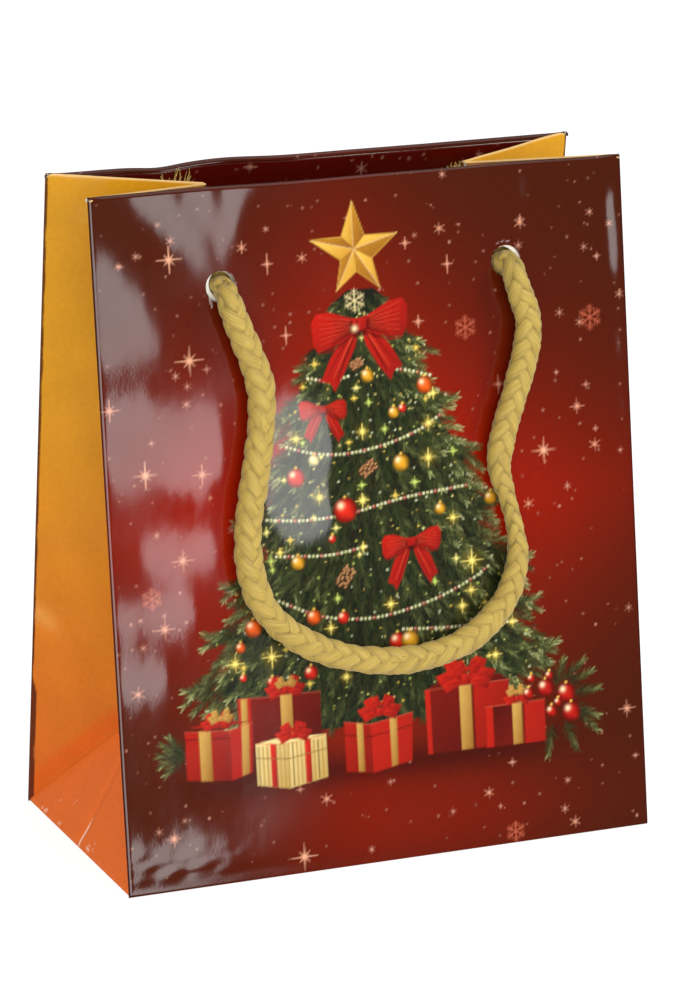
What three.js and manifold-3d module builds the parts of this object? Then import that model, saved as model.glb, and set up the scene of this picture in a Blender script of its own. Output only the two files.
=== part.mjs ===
// A small paper gift bag with two rope handles, standing open with its mouth pinched in.
//
// Millimetres, +Z up. X runs across the front, Y from the front wall to the rear wall.
// The origin is the middle of the footprint, on the surface that the bag stands on.
//
// One printed sheet is creased into walls, gussets, hems and base flaps. Each of those panels
// is a solid of its own here, with a small gap at every crease and between glued layers.

import * as THREE from 'three';
import { mergeVertices } from 'three/addons/utils/BufferGeometryUtils.js';
import Module from 'manifold-3d';

const wasm = await Module();
wasm.setup();

// ---------------------------------------------------------------- driving dimensions

const panelWidth = 119; // across the front and rear walls
const gussetDepth = 66; // front crease to rear crease at the base
const wallHeight = 145; // along the slope of a wall, from base crease to rim
const mouthDepth = 27; // front rim to rear rim, with the bag standing open

const paper = 0.3; // one layer of the laminated sheet
const board = 0.6; // the stiffening cards in the rims and the base
const gap = 0.3; // between layers that touch, and at the creases
const footClearance = 0.1; // the base creases above the standing surface

const hemDepth = 34; // the rim turned down inside
const rimCardDepth = 28; // the card held inside a hem
const seamTabWidth = 12; // the glued tab that closes the sheet into a tube
const flapOverlap = 12; // how far a base flap passes the middle of the base
const flapCorner = 10; // the cut corner of a base flap
const sideFlapDepth = 30; // the base flaps folded in from the gussets
const baseCardCorner = 3; // the rounded corner of the base card

const holeSpacing = 64; // between the two rope holes of a wall
const holeDrop = 20.4; // from the rim down to a hole's middle
const holeDiameter = 6.4;
const ropeDiameter = 6.4;
const ropeClearance = 0.4; // between a wall's face and the rope that hangs against it

const knotWidth = 11; // across the knot, along the wall
const knotDepth = 8; // how far the knot stands off the hem
const tailDiameter = 4.6; // the cut end above or below a knot
const tailLength = 17; // from the hole's middle to the cut end

// Each handle's free loop, as distances across, up from the hole line, and out from where the
// rope would lie against the wall. The front loop hangs with a slack S bend, and the rear one
// as an even loop of the same rope.
const frontLoop = [
  [-31.4, -3.7, 0], [-30.2, -7.5, 0], [-28, -13.5, 0.1], [-26, -20.5, 0.2],
  [-26.2, -28, 0.2], [-27.9, -38, 0.1], [-30.3, -49.5, 0.1], [-30.3, -58.5, 0.1],
  [-27.8, -66.5, 0.2], [-22.2, -72.8, 0.3], [-13.5, -77.8, 0.4], [-3, -80.6, 0.4],
  [7.5, -81, 0.4], [18, -78.2, 0.4], [26, -71.6, 0.4], [29.6, -63.5, 0.3],
  [29.6, -56.5, 0.2], [28, -49, 0.1], [26.6, -42.5, 0.1], [28.2, -35, 0.1],
  [31.2, -27, 0.1], [33.9, -19, 0.1], [34.8, -12.5, 0.1], [33.4, -7, 0],
  [32.4, -3.7, 0],
];
const rearLoop = [
  [-31.9, -3.7, 0], [-31.4, -12, 0], [-30.9, -22, 0.1], [-31, -32, 0.1],
  [-31.6, -42, 0.1], [-31.3, -52, 0.2], [-28.9, -61.5, 0.2], [-24, -70, 0.3],
  [-16.8, -76.4, 0.4], [-8, -80.2, 0.4], [1.5, -81.2, 0.4], [11, -79.4, 0.4],
  [19.4, -74.6, 0.4], [25.8, -67.4, 0.3], [29.6, -58.4, 0.2], [31, -48, 0.2],
  [31, -37, 0.1], [30.7, -26, 0.1], [31, -15, 0], [31.9, -3.7, 0],
];

// ---------------------------------------------------------------- worked-out dimensions

const halfDepth = gussetDepth / 2;
const halfWidth = panelWidth / 2;

// The walls lean in by this angle, and the triangles at the foot of the gussets lean in by
// webLean, which is what a 45 degree fold gives between a flat base and a leaning wall.
const lean = Math.asin((gussetDepth - mouthDepth) / (2 * wallHeight));
const webLean = Math.acos((1 - Math.sin(lean)) / Math.cos(lean));

// Layers of a rim, counted inwards from a wall's outer face.
const cardFace = paper + gap;
const hemFace = cardFace + board + gap;
const hemBack = hemFace + paper;

// Layers of the base, counted up from the standing surface.
const rearFlapLevel = paper + gap;
const sideFlapLevel = rearFlapLevel + paper + gap;
const baseCardLevel = sideFlapLevel + paper + gap;

const holeHeight = wallHeight - holeDrop;
const creaseShift = (paper + gap) * Math.SQRT1_2; // each side of a diagonal crease
const ropeStandOff = ropeDiameter / 2 + ropeClearance; // from a wall's face to the rope's middle
const elbowRadius = ropeDiameter / 2 - gap; // the rope's bend in front of a hole
const neckRadius = holeDiameter / 2 - gap; // the rope where the hole squeezes it

// ---------------------------------------------------------------- materials

function finish(color, roughness) {
  return new THREE.MeshStandardMaterial({ color, roughness, metalness: 0 });
}

const printedPaper = () => finish(0x7e1a14, 0.15);
const orangePaper = () => finish(0xde8c28, 0.35);
const maroonPaper = () => finish(0x3e0a04, 0.35);
const whiteCard = () => finish(0xe9e4da, 0.85);
const greyCard = () => finish(0xa8a196, 0.9);
const khakiRope = () => finish(0xc8ae5a, 0.8);

// ---------------------------------------------------------------- shape helpers

const bag = new THREE.Group();

function addMesh(parent, name, geometry, material) {
  const mesh = new THREE.Mesh(geometry, material);
  mesh.name = name;
  parent.add(mesh);
}

function outline(points) {
  return new THREE.Shape(points.map(([x, y]) => new THREE.Vector2(x, y)));
}

function rectangle(left, bottom, right, top) {
  return outline([[left, bottom], [right, bottom], [right, top], [left, top]]);
}

function punchRopeHoles(shape) {
  for (const side of [-1, 1]) {
    const hole = new THREE.Path();
    hole.absarc((side * holeSpacing) / 2, holeHeight, holeDiameter / 2, 0, 2 * Math.PI);
    shape.holes.push(hole);
  }
  return shape;
}

function plate(shape, thickness) {
  return new THREE.ExtrudeGeometry(shape, {
    depth: thickness,
    bevelEnabled: false,
    curveSegments: 10,
  });
}

// A layer of a wall: its outline is across and up the wall, and its face lies at depth.
function wallLayer(shape, depth, thickness) {
  const geometry = plate(shape, thickness);
  geometry.rotateX(Math.PI / 2);
  geometry.translate(0, depth + thickness, 0);
  return geometry;
}

// A sheet bent onto a surface. place takes shares from 0 to 1 across, up and through it.
function bentSheet(place, across, up, inverted) {
  const geometry = new THREE.BoxGeometry(1, 1, 1, across, up, 1);
  const positions = geometry.attributes.position;
  const share = new THREE.Vector3();
  for (let i = 0; i < positions.count; i += 1) {
    share.fromBufferAttribute(positions, i).addScalar(0.5);
    const point = place(share.x, share.y, share.z);
    positions.setXYZ(i, point.x, point.y, point.z);
  }
  if (inverted) {
    const { array } = geometry.index;
    for (let i = 0; i < array.length; i += 3) {
      [array[i], array[i + 1]] = [array[i + 1], array[i]];
    }
  }
  geometry.computeVertexNormals();
  return geometry;
}

function toSolid(geometry) {
  const bare = geometry.clone();
  bare.deleteAttribute('normal');
  bare.deleteAttribute('uv');
  const merged = mergeVertices(bare, 1e-4);
  return new wasm.Manifold(new wasm.Mesh({
    numProp: 3,
    vertProperties: Float32Array.from(merged.attributes.position.array),
    triVerts: Uint32Array.from(merged.index.array),
  }));
}

function fromSolid(solid) {
  const mesh = solid.getMesh();
  const geometry = new THREE.BufferGeometry();
  geometry.setAttribute('position', new THREE.BufferAttribute(mesh.vertProperties, 3));
  geometry.setIndex(new THREE.BufferAttribute(mesh.triVerts, 1));
  geometry.computeVertexNormals();
  return geometry;
}

function join(geometries) {
  return fromSolid(geometries.map(toSolid).reduce((whole, next) => whole.add(next)));
}

// ---------------------------------------------------------------- the gussets' fold surface

// A gusset is creased down its middle and folded inwards. These give the outer face of the left
// gusset's front half: the wall's edge, the middle crease, and the surface between them.
function wallEdge(up) {
  return new THREE.Vector3(
    -halfWidth,
    -halfDepth + up * Math.sin(lean),
    up * Math.cos(lean),
  );
}

function middleCrease(up) {
  const slant = (halfDepth - up * Math.sin(lean)) / Math.cos(lean);
  return new THREE.Vector3(
    -halfWidth + Math.sqrt(halfDepth ** 2 - slant ** 2),
    0,
    up * Math.cos(lean) - slant * Math.sin(lean),
  );
}

// share is 0 at the wall's edge and 1 at the middle crease.
function gussetSurface(share, up) {
  if (up >= halfDepth) return wallEdge(up).lerp(middleCrease(up), share);
  const across = middleCrease(halfDepth).sub(wallEdge(halfDepth));
  return wallEdge(up).addScaledVector(across, share);
}

function gussetInward(share, up) {
  const step = 0.01;
  const across = gussetSurface(share + step, up).sub(gussetSurface(share - step, up));
  const upward = gussetSurface(share, up + step).sub(gussetSurface(share, up - step));
  return across.cross(upward).normalize();
}

// The angle between a wall and the gusset folded behind it.
function foldAngle(up) {
  const reach = middleCrease(Math.max(up, halfDepth)).sub(wallEdge(Math.max(up, halfDepth)));
  const inward = new THREE.Vector3(0, Math.cos(lean), -Math.sin(lean));
  return Math.asin(reach.dot(inward) / halfDepth);
}

// How far from a wall's edge a layer that reaches this deep clears the folded gusset.
function sideInset(depth) {
  const angle = foldAngle(wallHeight);
  return (depth + gap + paper / Math.cos(angle)) / Math.tan(angle);
}

// A strip of half a gusset, from one height up the wall to the rim. face is its depth inwards
// from the fold surface, and clearOf is the depth of the wall layer that it must stay behind.
function gussetStrip({ face, clearOf, diagonal, bottom }, mirrorX, mirrorY) {
  const low = diagonal ? creaseShift * Math.SQRT2 : bottom;
  const rise = diagonal ? halfDepth : 0;
  const creaseShare = 1 - gap / 2 / Math.sin(foldAngle(wallHeight)) / halfDepth;
  const place = (across, along, through) => {
    const edgeUp = low + along * (wallHeight - low);
    const clear = (clearOf + gap + face + paper) / Math.sin(foldAngle(edgeUp)) / halfDepth;
    const share = clear + across * (creaseShare - clear);
    const up = edgeUp + share * rise * (1 - along);
    const point = gussetSurface(share, up);
    point.addScaledVector(gussetInward(share, up), face + through * paper);
    return new THREE.Vector3(point.x * mirrorX, point.y * mirrorY, point.z);
  };
  return bentSheet(place, 4, diagonal ? 12 : 4, mirrorX * mirrorY < 0);
}

const sides = [['left', 1], ['right', -1]];
const ends = [['front', 1], ['rear', -1]];

for (const [side, mirrorX] of sides) {
  for (const [end, mirrorY] of ends) {
    const half = { face: 0, clearOf: paper, diagonal: true };
    const hem = { face: paper + gap, clearOf: hemBack, bottom: wallHeight - hemDepth };
    addMesh(bag, `${side}_gusset_${end}`, gussetStrip(half, mirrorX, mirrorY), orangePaper());
    addMesh(bag, `${side}_gusset_hem_${end}`, gussetStrip(hem, mirrorX, mirrorY), orangePaper());
  }
}

// ---------------------------------------------------------------- the base

// How far inside the footprint a base layer with its top at this height clears the leaning
// walls, and the leaning triangles at the sides.
function insetFromWall(top) {
  return (paper + top * Math.sin(lean)) / Math.cos(lean) + gap;
}

function insetFromWeb(top) {
  return (paper + top * Math.sin(webLean)) / Math.cos(webLean) + gap;
}

// The triangle at the foot of a gusset, between the base and the two diagonal creases.
function baseWeb(turn) {
  const lift = (footClearance + paper * Math.sin(webLean)) / Math.cos(webLean);
  const peak = halfDepth - creaseShift * Math.SQRT2;
  const web = new THREE.Group();
  const geometry = plate(outline([[lift - peak, lift], [peak - lift, lift], [0, peak]]), paper);
  const across = new THREE.Vector3(0, 1, 0);
  const up = new THREE.Vector3(Math.sin(webLean), 0, Math.cos(webLean));
  const inward = new THREE.Vector3().crossVectors(across, up);
  geometry.applyMatrix4(new THREE.Matrix4().makeBasis(across, up, inward));
  geometry.translate(-halfWidth, 0, 0);
  addMesh(web, turn ? 'right_base_web' : 'left_base_web', geometry, orangePaper());
  web.rotation.z = turn;
  return web;
}

// A flap folded in from a wall, across the base and past its middle.
function wallFlap(name, level, turn) {
  const flap = new THREE.Group();
  const right = halfWidth - insetFromWeb(level + paper);
  const near = -halfDepth + insetFromWall(level + paper);
  const shape = outline([
    [-right, near], [right, near], [right, flapOverlap - flapCorner],
    [right - flapCorner, flapOverlap], [flapCorner - right, flapOverlap],
    [-right, flapOverlap - flapCorner],
  ]);
  addMesh(flap, name, plate(shape, paper).translate(0, 0, level), maroonPaper());
  flap.rotation.z = turn;
  return flap;
}

// A flap folded in from a gusset, narrowed by the 45 degree folds at its ends.
function sideFlap(name, turn) {
  const flap = new THREE.Group();
  const top = sideFlapLevel + paper;
  const outer = -halfWidth + insetFromWeb(top);
  const half = halfDepth - insetFromWall(top);
  const narrowed = half - sideFlapDepth / 2;
  const inner = outer + sideFlapDepth;
  const shape = outline([[outer, -half], [inner, -narrowed], [inner, narrowed], [outer, half]]);
  addMesh(flap, name, plate(shape, paper).translate(0, 0, sideFlapLevel), orangePaper());
  flap.rotation.z = turn;
  return flap;
}

function baseCard() {
  const top = baseCardLevel + board;
  const x = halfWidth - insetFromWeb(top);
  const y = halfDepth - insetFromWall(top);
  const r = baseCardCorner;
  const shape = new THREE.Shape();
  shape.absarc(x - r, y - r, r, 0, Math.PI / 2);
  shape.absarc(r - x, y - r, r, Math.PI / 2, Math.PI);
  shape.absarc(r - x, r - y, r, Math.PI, 1.5 * Math.PI);
  shape.absarc(x - r, r - y, r, 1.5 * Math.PI, 2 * Math.PI);
  return plate(shape, board).translate(0, 0, baseCardLevel);
}

bag.add(baseWeb(0), baseWeb(Math.PI));
bag.add(wallFlap('base_flap_front', 0, 0), wallFlap('base_flap_rear', rearFlapLevel, Math.PI));
bag.add(sideFlap('base_flap_left', 0), sideFlap('base_flap_right', Math.PI));
addMesh(bag, 'base_card', baseCard(), greyCard());

// ---------------------------------------------------------------- the walls and the ropes

// The rope where it passes through a wall: a bend in front of the hole, a neck squeezed by the
// hole, a knot behind the hem, and the cut end, which stands up or hangs down.
function ropeKnot(across, tailWay) {
  const middle = hemBack + gap + knotDepth / 2;
  const elbow = new THREE.SphereGeometry(elbowRadius, 12, 8);
  elbow.translate(0, -ropeStandOff, 0);
  const neck = new THREE.CylinderGeometry(neckRadius, neckRadius, middle + ropeStandOff, 12);
  neck.translate(0, (middle - ropeStandOff) / 2, 0);
  const knot = new THREE.SphereGeometry(knotWidth / 2, 12, 8);
  knot.scale(1, knotDepth / knotWidth, 1);
  knot.translate(0, middle, 0);
  const tail = new THREE.CylinderGeometry(tailDiameter / 2, tailDiameter / 2, tailLength, 10);
  tail.rotateX(Math.PI / 2);
  tail.translate(0, middle, (tailWay * tailLength) / 2);
  return join([elbow, neck, knot, tail]).translate(across, 0, holeHeight);
}

function ropeLoop(points) {
  const route = new THREE.CatmullRomCurve3(
    points.map(([across, up, out]) => (
      new THREE.Vector3(across, -ropeStandOff - out, holeHeight + up)
    )),
  );
  const section = new THREE.Shape();
  section.absarc(0, 0, ropeDiameter / 2, 0, 2 * Math.PI);
  return new THREE.ExtrudeGeometry(section, {
    steps: 30,
    curveSegments: 5,
    extrudePath: route,
  });
}

// Everything that leans with one wall. tails says, left to right, which ropes' ends stand up.
function buildWall(end, turn, loop, tails) {
  const wall = new THREE.Group();
  wall.position.y = -halfDepth;
  wall.rotation.x = -lean;

  const panel = rectangle(-halfWidth, footClearance, halfWidth, wallHeight);
  const cardSide = halfWidth - sideInset(cardFace + board);
  const card = rectangle(-cardSide, wallHeight - rimCardDepth, cardSide, wallHeight - gap);
  const hemSide = halfWidth - sideInset(hemBack);
  const hem = rectangle(-hemSide, wallHeight - hemDepth, hemSide, wallHeight);
  addMesh(wall, `${end}_panel`, wallLayer(punchRopeHoles(panel), 0, paper), printedPaper());
  addMesh(wall, `${end}_rim_card`, wallLayer(punchRopeHoles(card), cardFace, board), whiteCard());
  addMesh(wall, `${end}_hem`, wallLayer(punchRopeHoles(hem), hemFace, paper), maroonPaper());

  for (const [place, tailWay] of tails) {
    const across = (place * holeSpacing) / 2;
    const side = place * Math.cos(turn) < 0 ? 'left' : 'right';
    addMesh(wall, `${end}_knot_${side}`, ropeKnot(across, tailWay), khakiRope());
  }
  addMesh(wall, `${end}_handle_rope`, ropeLoop(loop), khakiRope());

  const placed = new THREE.Group();
  placed.rotation.z = turn;
  placed.add(wall);
  bag.add(placed);
  return wall;
}

buildWall('front', 0, frontLoop, [[-1, -1], [1, -1]]);
const rearWall = buildWall('rear', Math.PI, rearLoop, [[-1, 1], [1, 1]]);

// The tab glued inside the rear wall, along its right edge as seen from the front.
const tabOuter = -halfWidth + sideInset(cardFace + paper);
const tabBottom = (baseCardLevel + board + gap) / Math.cos(lean);
const tabTop = wallHeight - Math.max(hemDepth, rimCardDepth) - gap;
const seamTab = rectangle(tabOuter, tabBottom, tabOuter + seamTabWidth, tabTop);
addMesh(rearWall, 'seam_tab', wallLayer(seamTab, cardFace, paper), maroonPaper());

export default bag;
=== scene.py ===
# %% [markdown]
# # A small paper gift bag with two rope handles
#
# The bag is one printed and laminated sheet, creased into a front, a rear, two gussets that fold
# inwards, and a base. A soft braided rope runs through two holes in each wall and is knotted
# inside. The imported model gives every size and joint. Here each visible part is made again with
# the detail that the real paper and rope have, in the same place. The wall sheets, hems, rim cards,
# knots and foot triangles are told which body of the model they move with; the ropes and gusset
# halves are baked in place.

import math

import bpy
import numpy as np
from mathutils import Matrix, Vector


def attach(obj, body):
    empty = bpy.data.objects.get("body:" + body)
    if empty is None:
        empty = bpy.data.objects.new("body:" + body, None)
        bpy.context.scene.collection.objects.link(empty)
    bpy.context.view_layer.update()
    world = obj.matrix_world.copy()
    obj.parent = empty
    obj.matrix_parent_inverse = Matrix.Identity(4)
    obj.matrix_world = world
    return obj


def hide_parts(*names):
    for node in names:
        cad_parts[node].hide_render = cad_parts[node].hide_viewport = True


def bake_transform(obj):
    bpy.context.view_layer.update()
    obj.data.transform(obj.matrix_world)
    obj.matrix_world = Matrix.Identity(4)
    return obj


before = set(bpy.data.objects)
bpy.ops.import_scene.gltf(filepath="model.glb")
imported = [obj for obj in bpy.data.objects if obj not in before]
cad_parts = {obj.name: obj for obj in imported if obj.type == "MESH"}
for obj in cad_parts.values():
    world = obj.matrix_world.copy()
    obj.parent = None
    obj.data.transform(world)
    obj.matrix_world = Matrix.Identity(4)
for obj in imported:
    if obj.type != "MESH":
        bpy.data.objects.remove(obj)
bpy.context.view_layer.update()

# %% [markdown]
# ## The camera
#
# The camera looks down a little and from the left, from nearly a metre away. A long lens keeps
# the upright edges nearly parallel. The 36 mm of the sensor lie
# along the picture's long side. The standard view transform keeps white paper white.

# %% Camera
camera_azimuth = math.radians(-22.408)
camera_elevation = math.radians(15.721)
camera_target = Vector((-0.03247, -0.08129, 0.09517))
camera_distance = 0.8689

camera_back = Vector((
    math.sin(camera_azimuth) * math.cos(camera_elevation),
    -math.cos(camera_azimuth) * math.cos(camera_elevation),
    math.sin(camera_elevation),
))
camera = bpy.data.objects.new("camera", bpy.data.cameras.new("camera"))
bpy.context.scene.collection.objects.link(camera)
camera.data.lens = 161.9
camera.data.sensor_width = 36
camera.data.clip_start = 0.01
camera.data.clip_end = 30
camera.location = camera_target + camera_back * camera_distance
camera.rotation_euler = (-camera_back).to_track_quat("-Z", "Y").to_euler()
bpy.context.scene.camera = camera
bpy.context.scene.view_settings.view_transform = "Standard"
print("camera stands at", [round(x, 3) for x in camera.location])

# %% [markdown]
# ## The bag's sizes
#
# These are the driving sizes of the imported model, in millimetres, so that each piece can be
# worked out here instead of measured. The two walls lean in towards the mouth, and the angle of
# that lean comes from the depth at the base and at the mouth.

# %% Sizes, in millimetres
panel_width = 119.0
gusset_depth = 66.0
wall_height = 145.0
mouth_depth = 27.0
hole_spacing = 64.0
hole_height = wall_height - 20.4
hole_radius = 3.25
hem_depth = 34.0

half_width = panel_width / 2
half_depth = gusset_depth / 2
sin_lean = (gusset_depth - mouth_depth) / (2 * wall_height)
cos_lean = math.sqrt(1 - sin_lean ** 2)
sin_web = math.sqrt(1 - ((1 - sin_lean) / cos_lean) ** 2)
cos_web = math.sqrt(1 - sin_web ** 2)
print("walls lean in by", round(math.degrees(math.asin(sin_lean)), 2), "degrees")


# %% Place a point that is given along a wall
def on_wall(end, across, up, out):
    """A wall's own point, across it, up its slope and out from its face, in the frame."""
    across, up, out = np.broadcast_arrays(across, up, out)
    y = -half_depth + up * sin_lean - out * cos_lean
    z = up * cos_lean + out * sin_lean
    turn = 1 if end == "front" else -1
    return np.stack([across * turn, y * turn, z], axis=-1).astype(float)


print("front rim is at", on_wall("front", 0.0, wall_height, 0.0).round(1))

# %% [markdown]
# ## Meshes from numbers
#
# Every piece is worked out as arrays of points, quads and triangles. This helper turns them into
# a mesh quickly, even for the walls with their hundreds of thousands of points, and stores extra
# values on the points, such as colours, for the materials to read.


# %% Make a mesh piece
def make_piece(name, points, quads, triangles=None, sharp=None):
    """A mesh object from points in millimetres. Edges bent more than sharp degrees stay crisp."""
    mesh = bpy.data.meshes.new(name)
    polygons = [np.asarray(quads, dtype=np.int32).reshape(-1, 4)]
    if triangles is not None:
        polygons.append(np.asarray(triangles, dtype=np.int32).reshape(-1, 3))
    sizes = np.concatenate([np.full(len(p), p.shape[1]) for p in polygons])
    corners = np.concatenate([p.ravel() for p in polygons])
    mesh.vertices.add(len(points))
    mesh.vertices.foreach_set("co", (np.asarray(points) / 1000).astype(np.float32).ravel())
    mesh.loops.add(len(corners))
    mesh.loops.foreach_set("vertex_index", corners.astype(np.int32))
    mesh.polygons.add(len(sizes))
    starts = np.concatenate([[0], np.cumsum(sizes)[:-1]])
    mesh.polygons.foreach_set("loop_start", starts.astype(np.int32))
    mesh.polygons.foreach_set("use_smooth", np.ones(len(sizes), dtype=bool))
    mesh.update(calc_edges=True)
    mesh.validate()
    if sharp is not None:
        mesh.set_sharp_from_angle(angle=math.radians(sharp))
    piece = bpy.data.objects.new(name, mesh)
    bpy.context.scene.collection.objects.link(piece)
    return piece


def store_colours(piece, name, colours):
    attribute = piece.data.attributes.new(name, "FLOAT_COLOR", "POINT")
    rgba = np.ones((len(colours), 4), dtype=np.float32)
    rgba[:, :3] = colours
    attribute.data.foreach_set("color", rgba.ravel())


def store_values(piece, name, values):
    attribute = piece.data.attributes.new(name, "FLOAT", "POINT")
    attribute.data.foreach_set("value", np.asarray(values, dtype=np.float32))


def grid_quads(rows, columns, first=0, flip=False):
    """The quads of a grid of points that are numbered row by row."""
    ids = first + np.arange(rows * columns).reshape(rows, columns)
    quads = np.stack([ids[:-1, :-1], ids[:-1, 1:], ids[1:, 1:], ids[1:, :-1]], axis=-1)
    quads = quads.reshape(-1, 4)
    return quads[:, ::-1] if flip else quads


# %% Colours and repeatable randomness
def rgb(code):
    """A colour as printers write it, turned into the linear numbers that light works with."""
    values = np.array([int(code[i:i + 2], 16) for i in (0, 2, 4)]) / 255
    return np.where(values <= 0.04045, values / 12.92, ((values + 0.055) / 1.055) ** 2.4)


def smooth(values, low, high):
    """0 below low, 1 above high, and a soft step between."""
    share = np.clip((np.asarray(values, dtype=float) - low) / (high - low), 0, 1)
    return share * share * (3 - 2 * share)


def soft_noise(across, up, grain, seed):
    """Gentle random waves of about this wavelength, between about -1 and 1."""
    rng = np.random.default_rng(seed)
    total = 0.0
    for _ in range(7):
        angle = rng.uniform(0, math.tau)
        pitch = math.tau / grain * rng.uniform(0.7, 1.4)
        phase = rng.uniform(0, math.tau)
        along = across * math.cos(angle) + up * math.sin(angle)
        total = total + np.sin(along * pitch + phase)
    return total / 3.0


print("bright red in linear numbers", rgb("B01A12").round(3))

# %% [markdown]
# ## The rope handles
#
# Each handle is a soft, hollow braid of eight flat ribbons, four turning each way, and each
# ribbon goes over two and under two. It could be a plain tube with a bump pattern, but the
# ribbons catch the light as real shapes, so each one is swept along the rope here. The rope
# leaves one hole, hangs against the wall in a loop, and goes back in through the other hole. Both
# loops are seen from end to end, so their length is the real one, about 200 mm.

# %% The loops, as distances across, up from the hole line, and out
rope_stand_off = 3.6
front_loop = [
    (-31.4, -3.7, 0), (-30.2, -7.5, 0), (-28, -13.5, 0.1), (-26, -20.5, 0.2),
    (-26.2, -28, 0.2), (-27.9, -38, 0.1), (-30.3, -49.5, 0.1), (-30.3, -58.5, 0.1),
    (-27.8, -66.5, 0.2), (-22.2, -72.8, 0.3), (-13.5, -77.8, 0.4), (-3, -80.6, 0.4),
    (7.5, -81, 0.4), (18, -78.2, 0.4), (26, -71.6, 0.4), (29.6, -63.5, 0.3),
    (29.6, -56.5, 0.2), (28, -49, 0.1), (26.6, -42.5, 0.1), (28.2, -35, 0.1),
    (31.2, -27, 0.1), (33.9, -19, 0.1), (34.8, -12.5, 0.1), (33.4, -7, 0), (32.4, -3.7, 0),
]
rear_loop = [
    (-31.9, -3.7, 0), (-31.4, -12, 0), (-30.9, -22, 0.1), (-31, -32, 0.1),
    (-31.6, -42, 0.1), (-31.3, -52, 0.2), (-28.9, -61.5, 0.2), (-24, -70, 0.3),
    (-16.8, -76.4, 0.4), (-8, -80.2, 0.4), (1.5, -81.2, 0.4), (11, -79.4, 0.4),
    (19.4, -74.6, 0.4), (25.8, -67.4, 0.3), (29.6, -58.4, 0.2), (31, -48, 0.2),
    (31, -37, 0.1), (30.7, -26, 0.1), (31, -15, 0), (31.9, -3.7, 0),
]


def rope_route(end, loop):
    """The rope's middle line from inside one hole, round the loop, and into the other hole."""
    first, last = loop[0][0], loop[-1][0]
    hang = [(a, u, o + rope_stand_off) for a, u, o in loop]
    way_out = [(-31.3, -0.8, -3.4), (-31.3, -0.8, -0.8), (first, -1.1, 1.4), (first - 0.1, -2.1, 2.9)]
    way_in = [(last + 0.1, -2.1, 2.9), (last, -1.1, 1.4), (31.6, -0.8, -0.8), (31.6, -0.8, -3.4)]
    line = np.array(way_out + hang + way_in, dtype=float)
    return on_wall(end, line[:, 0], hole_height + line[:, 1], line[:, 2])


# %% Even steps along a smooth curve
def smooth_curve(points, step):
    """A curve through the points, cut into steps of equal length."""
    points = np.asarray(points, dtype=float)
    before = 2 * points[0] - points[1]
    after = 2 * points[-1] - points[-2]
    padded = np.vstack([before, points, after])
    share = np.linspace(0, 1, 24, endpoint=False)[:, None]
    spans = []
    for a, b, c, d in zip(padded, padded[1:], padded[2:], padded[3:]):
        spans.append(0.5 * (
            2 * b + (c - a) * share + (2 * a - 5 * b + 4 * c - d) * share ** 2
            + (3 * b - a - 3 * c + d) * share ** 3
        ))
    dense = np.vstack([*spans, points[-1:]])
    lengths = np.concatenate([[0], np.cumsum(np.linalg.norm(np.diff(dense, axis=0), axis=1))])
    even = np.linspace(0, lengths[-1], max(4, int(lengths[-1] / step) + 1))
    return np.stack([np.interp(even, lengths, dense[:, i]) for i in range(3)], axis=-1), even


def unit(vectors):
    return vectors / np.linalg.norm(vectors, axis=-1, keepdims=True)


def carry_along(line, start_out, start_index):
    """An outward direction at every point, carried along the curve without twisting it."""
    tangent = unit(np.gradient(line, axis=0))
    out = np.zeros_like(line)
    for way in (1, -1):
        current = np.asarray(start_out, dtype=float)
        index = start_index
        while 0 <= index < len(line):
            current = unit(current - current.dot(tangent[index]) * tangent[index])
            out[index] = current
            index += way
    return tangent, out


front_route, front_steps = smooth_curve(rope_route("front", front_loop), 0.45)
print("front handle from hole to hole:", round(front_steps[-1], 1), "mm")


# %% Braid eight ribbons round a line
def tube_faces(rows, ring, first):
    """The quads of a closed tube of rings, and the triangles that shut its two ends."""
    ids = first + np.arange(rows * ring).reshape(rows, ring)
    following = np.roll(ids, -1, axis=1)
    quads = np.stack([ids[:-1], following[:-1], following[1:], ids[1:]], axis=-1).reshape(-1, 4)
    fan = [(ids[0, 0], ids[0, k + 1], ids[0, k]) for k in range(1, ring - 1)]
    fan += [(ids[-1, 0], ids[-1, k], ids[-1, k + 1]) for k in range(1, ring - 1)]
    return quads, np.array(fan)


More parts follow.
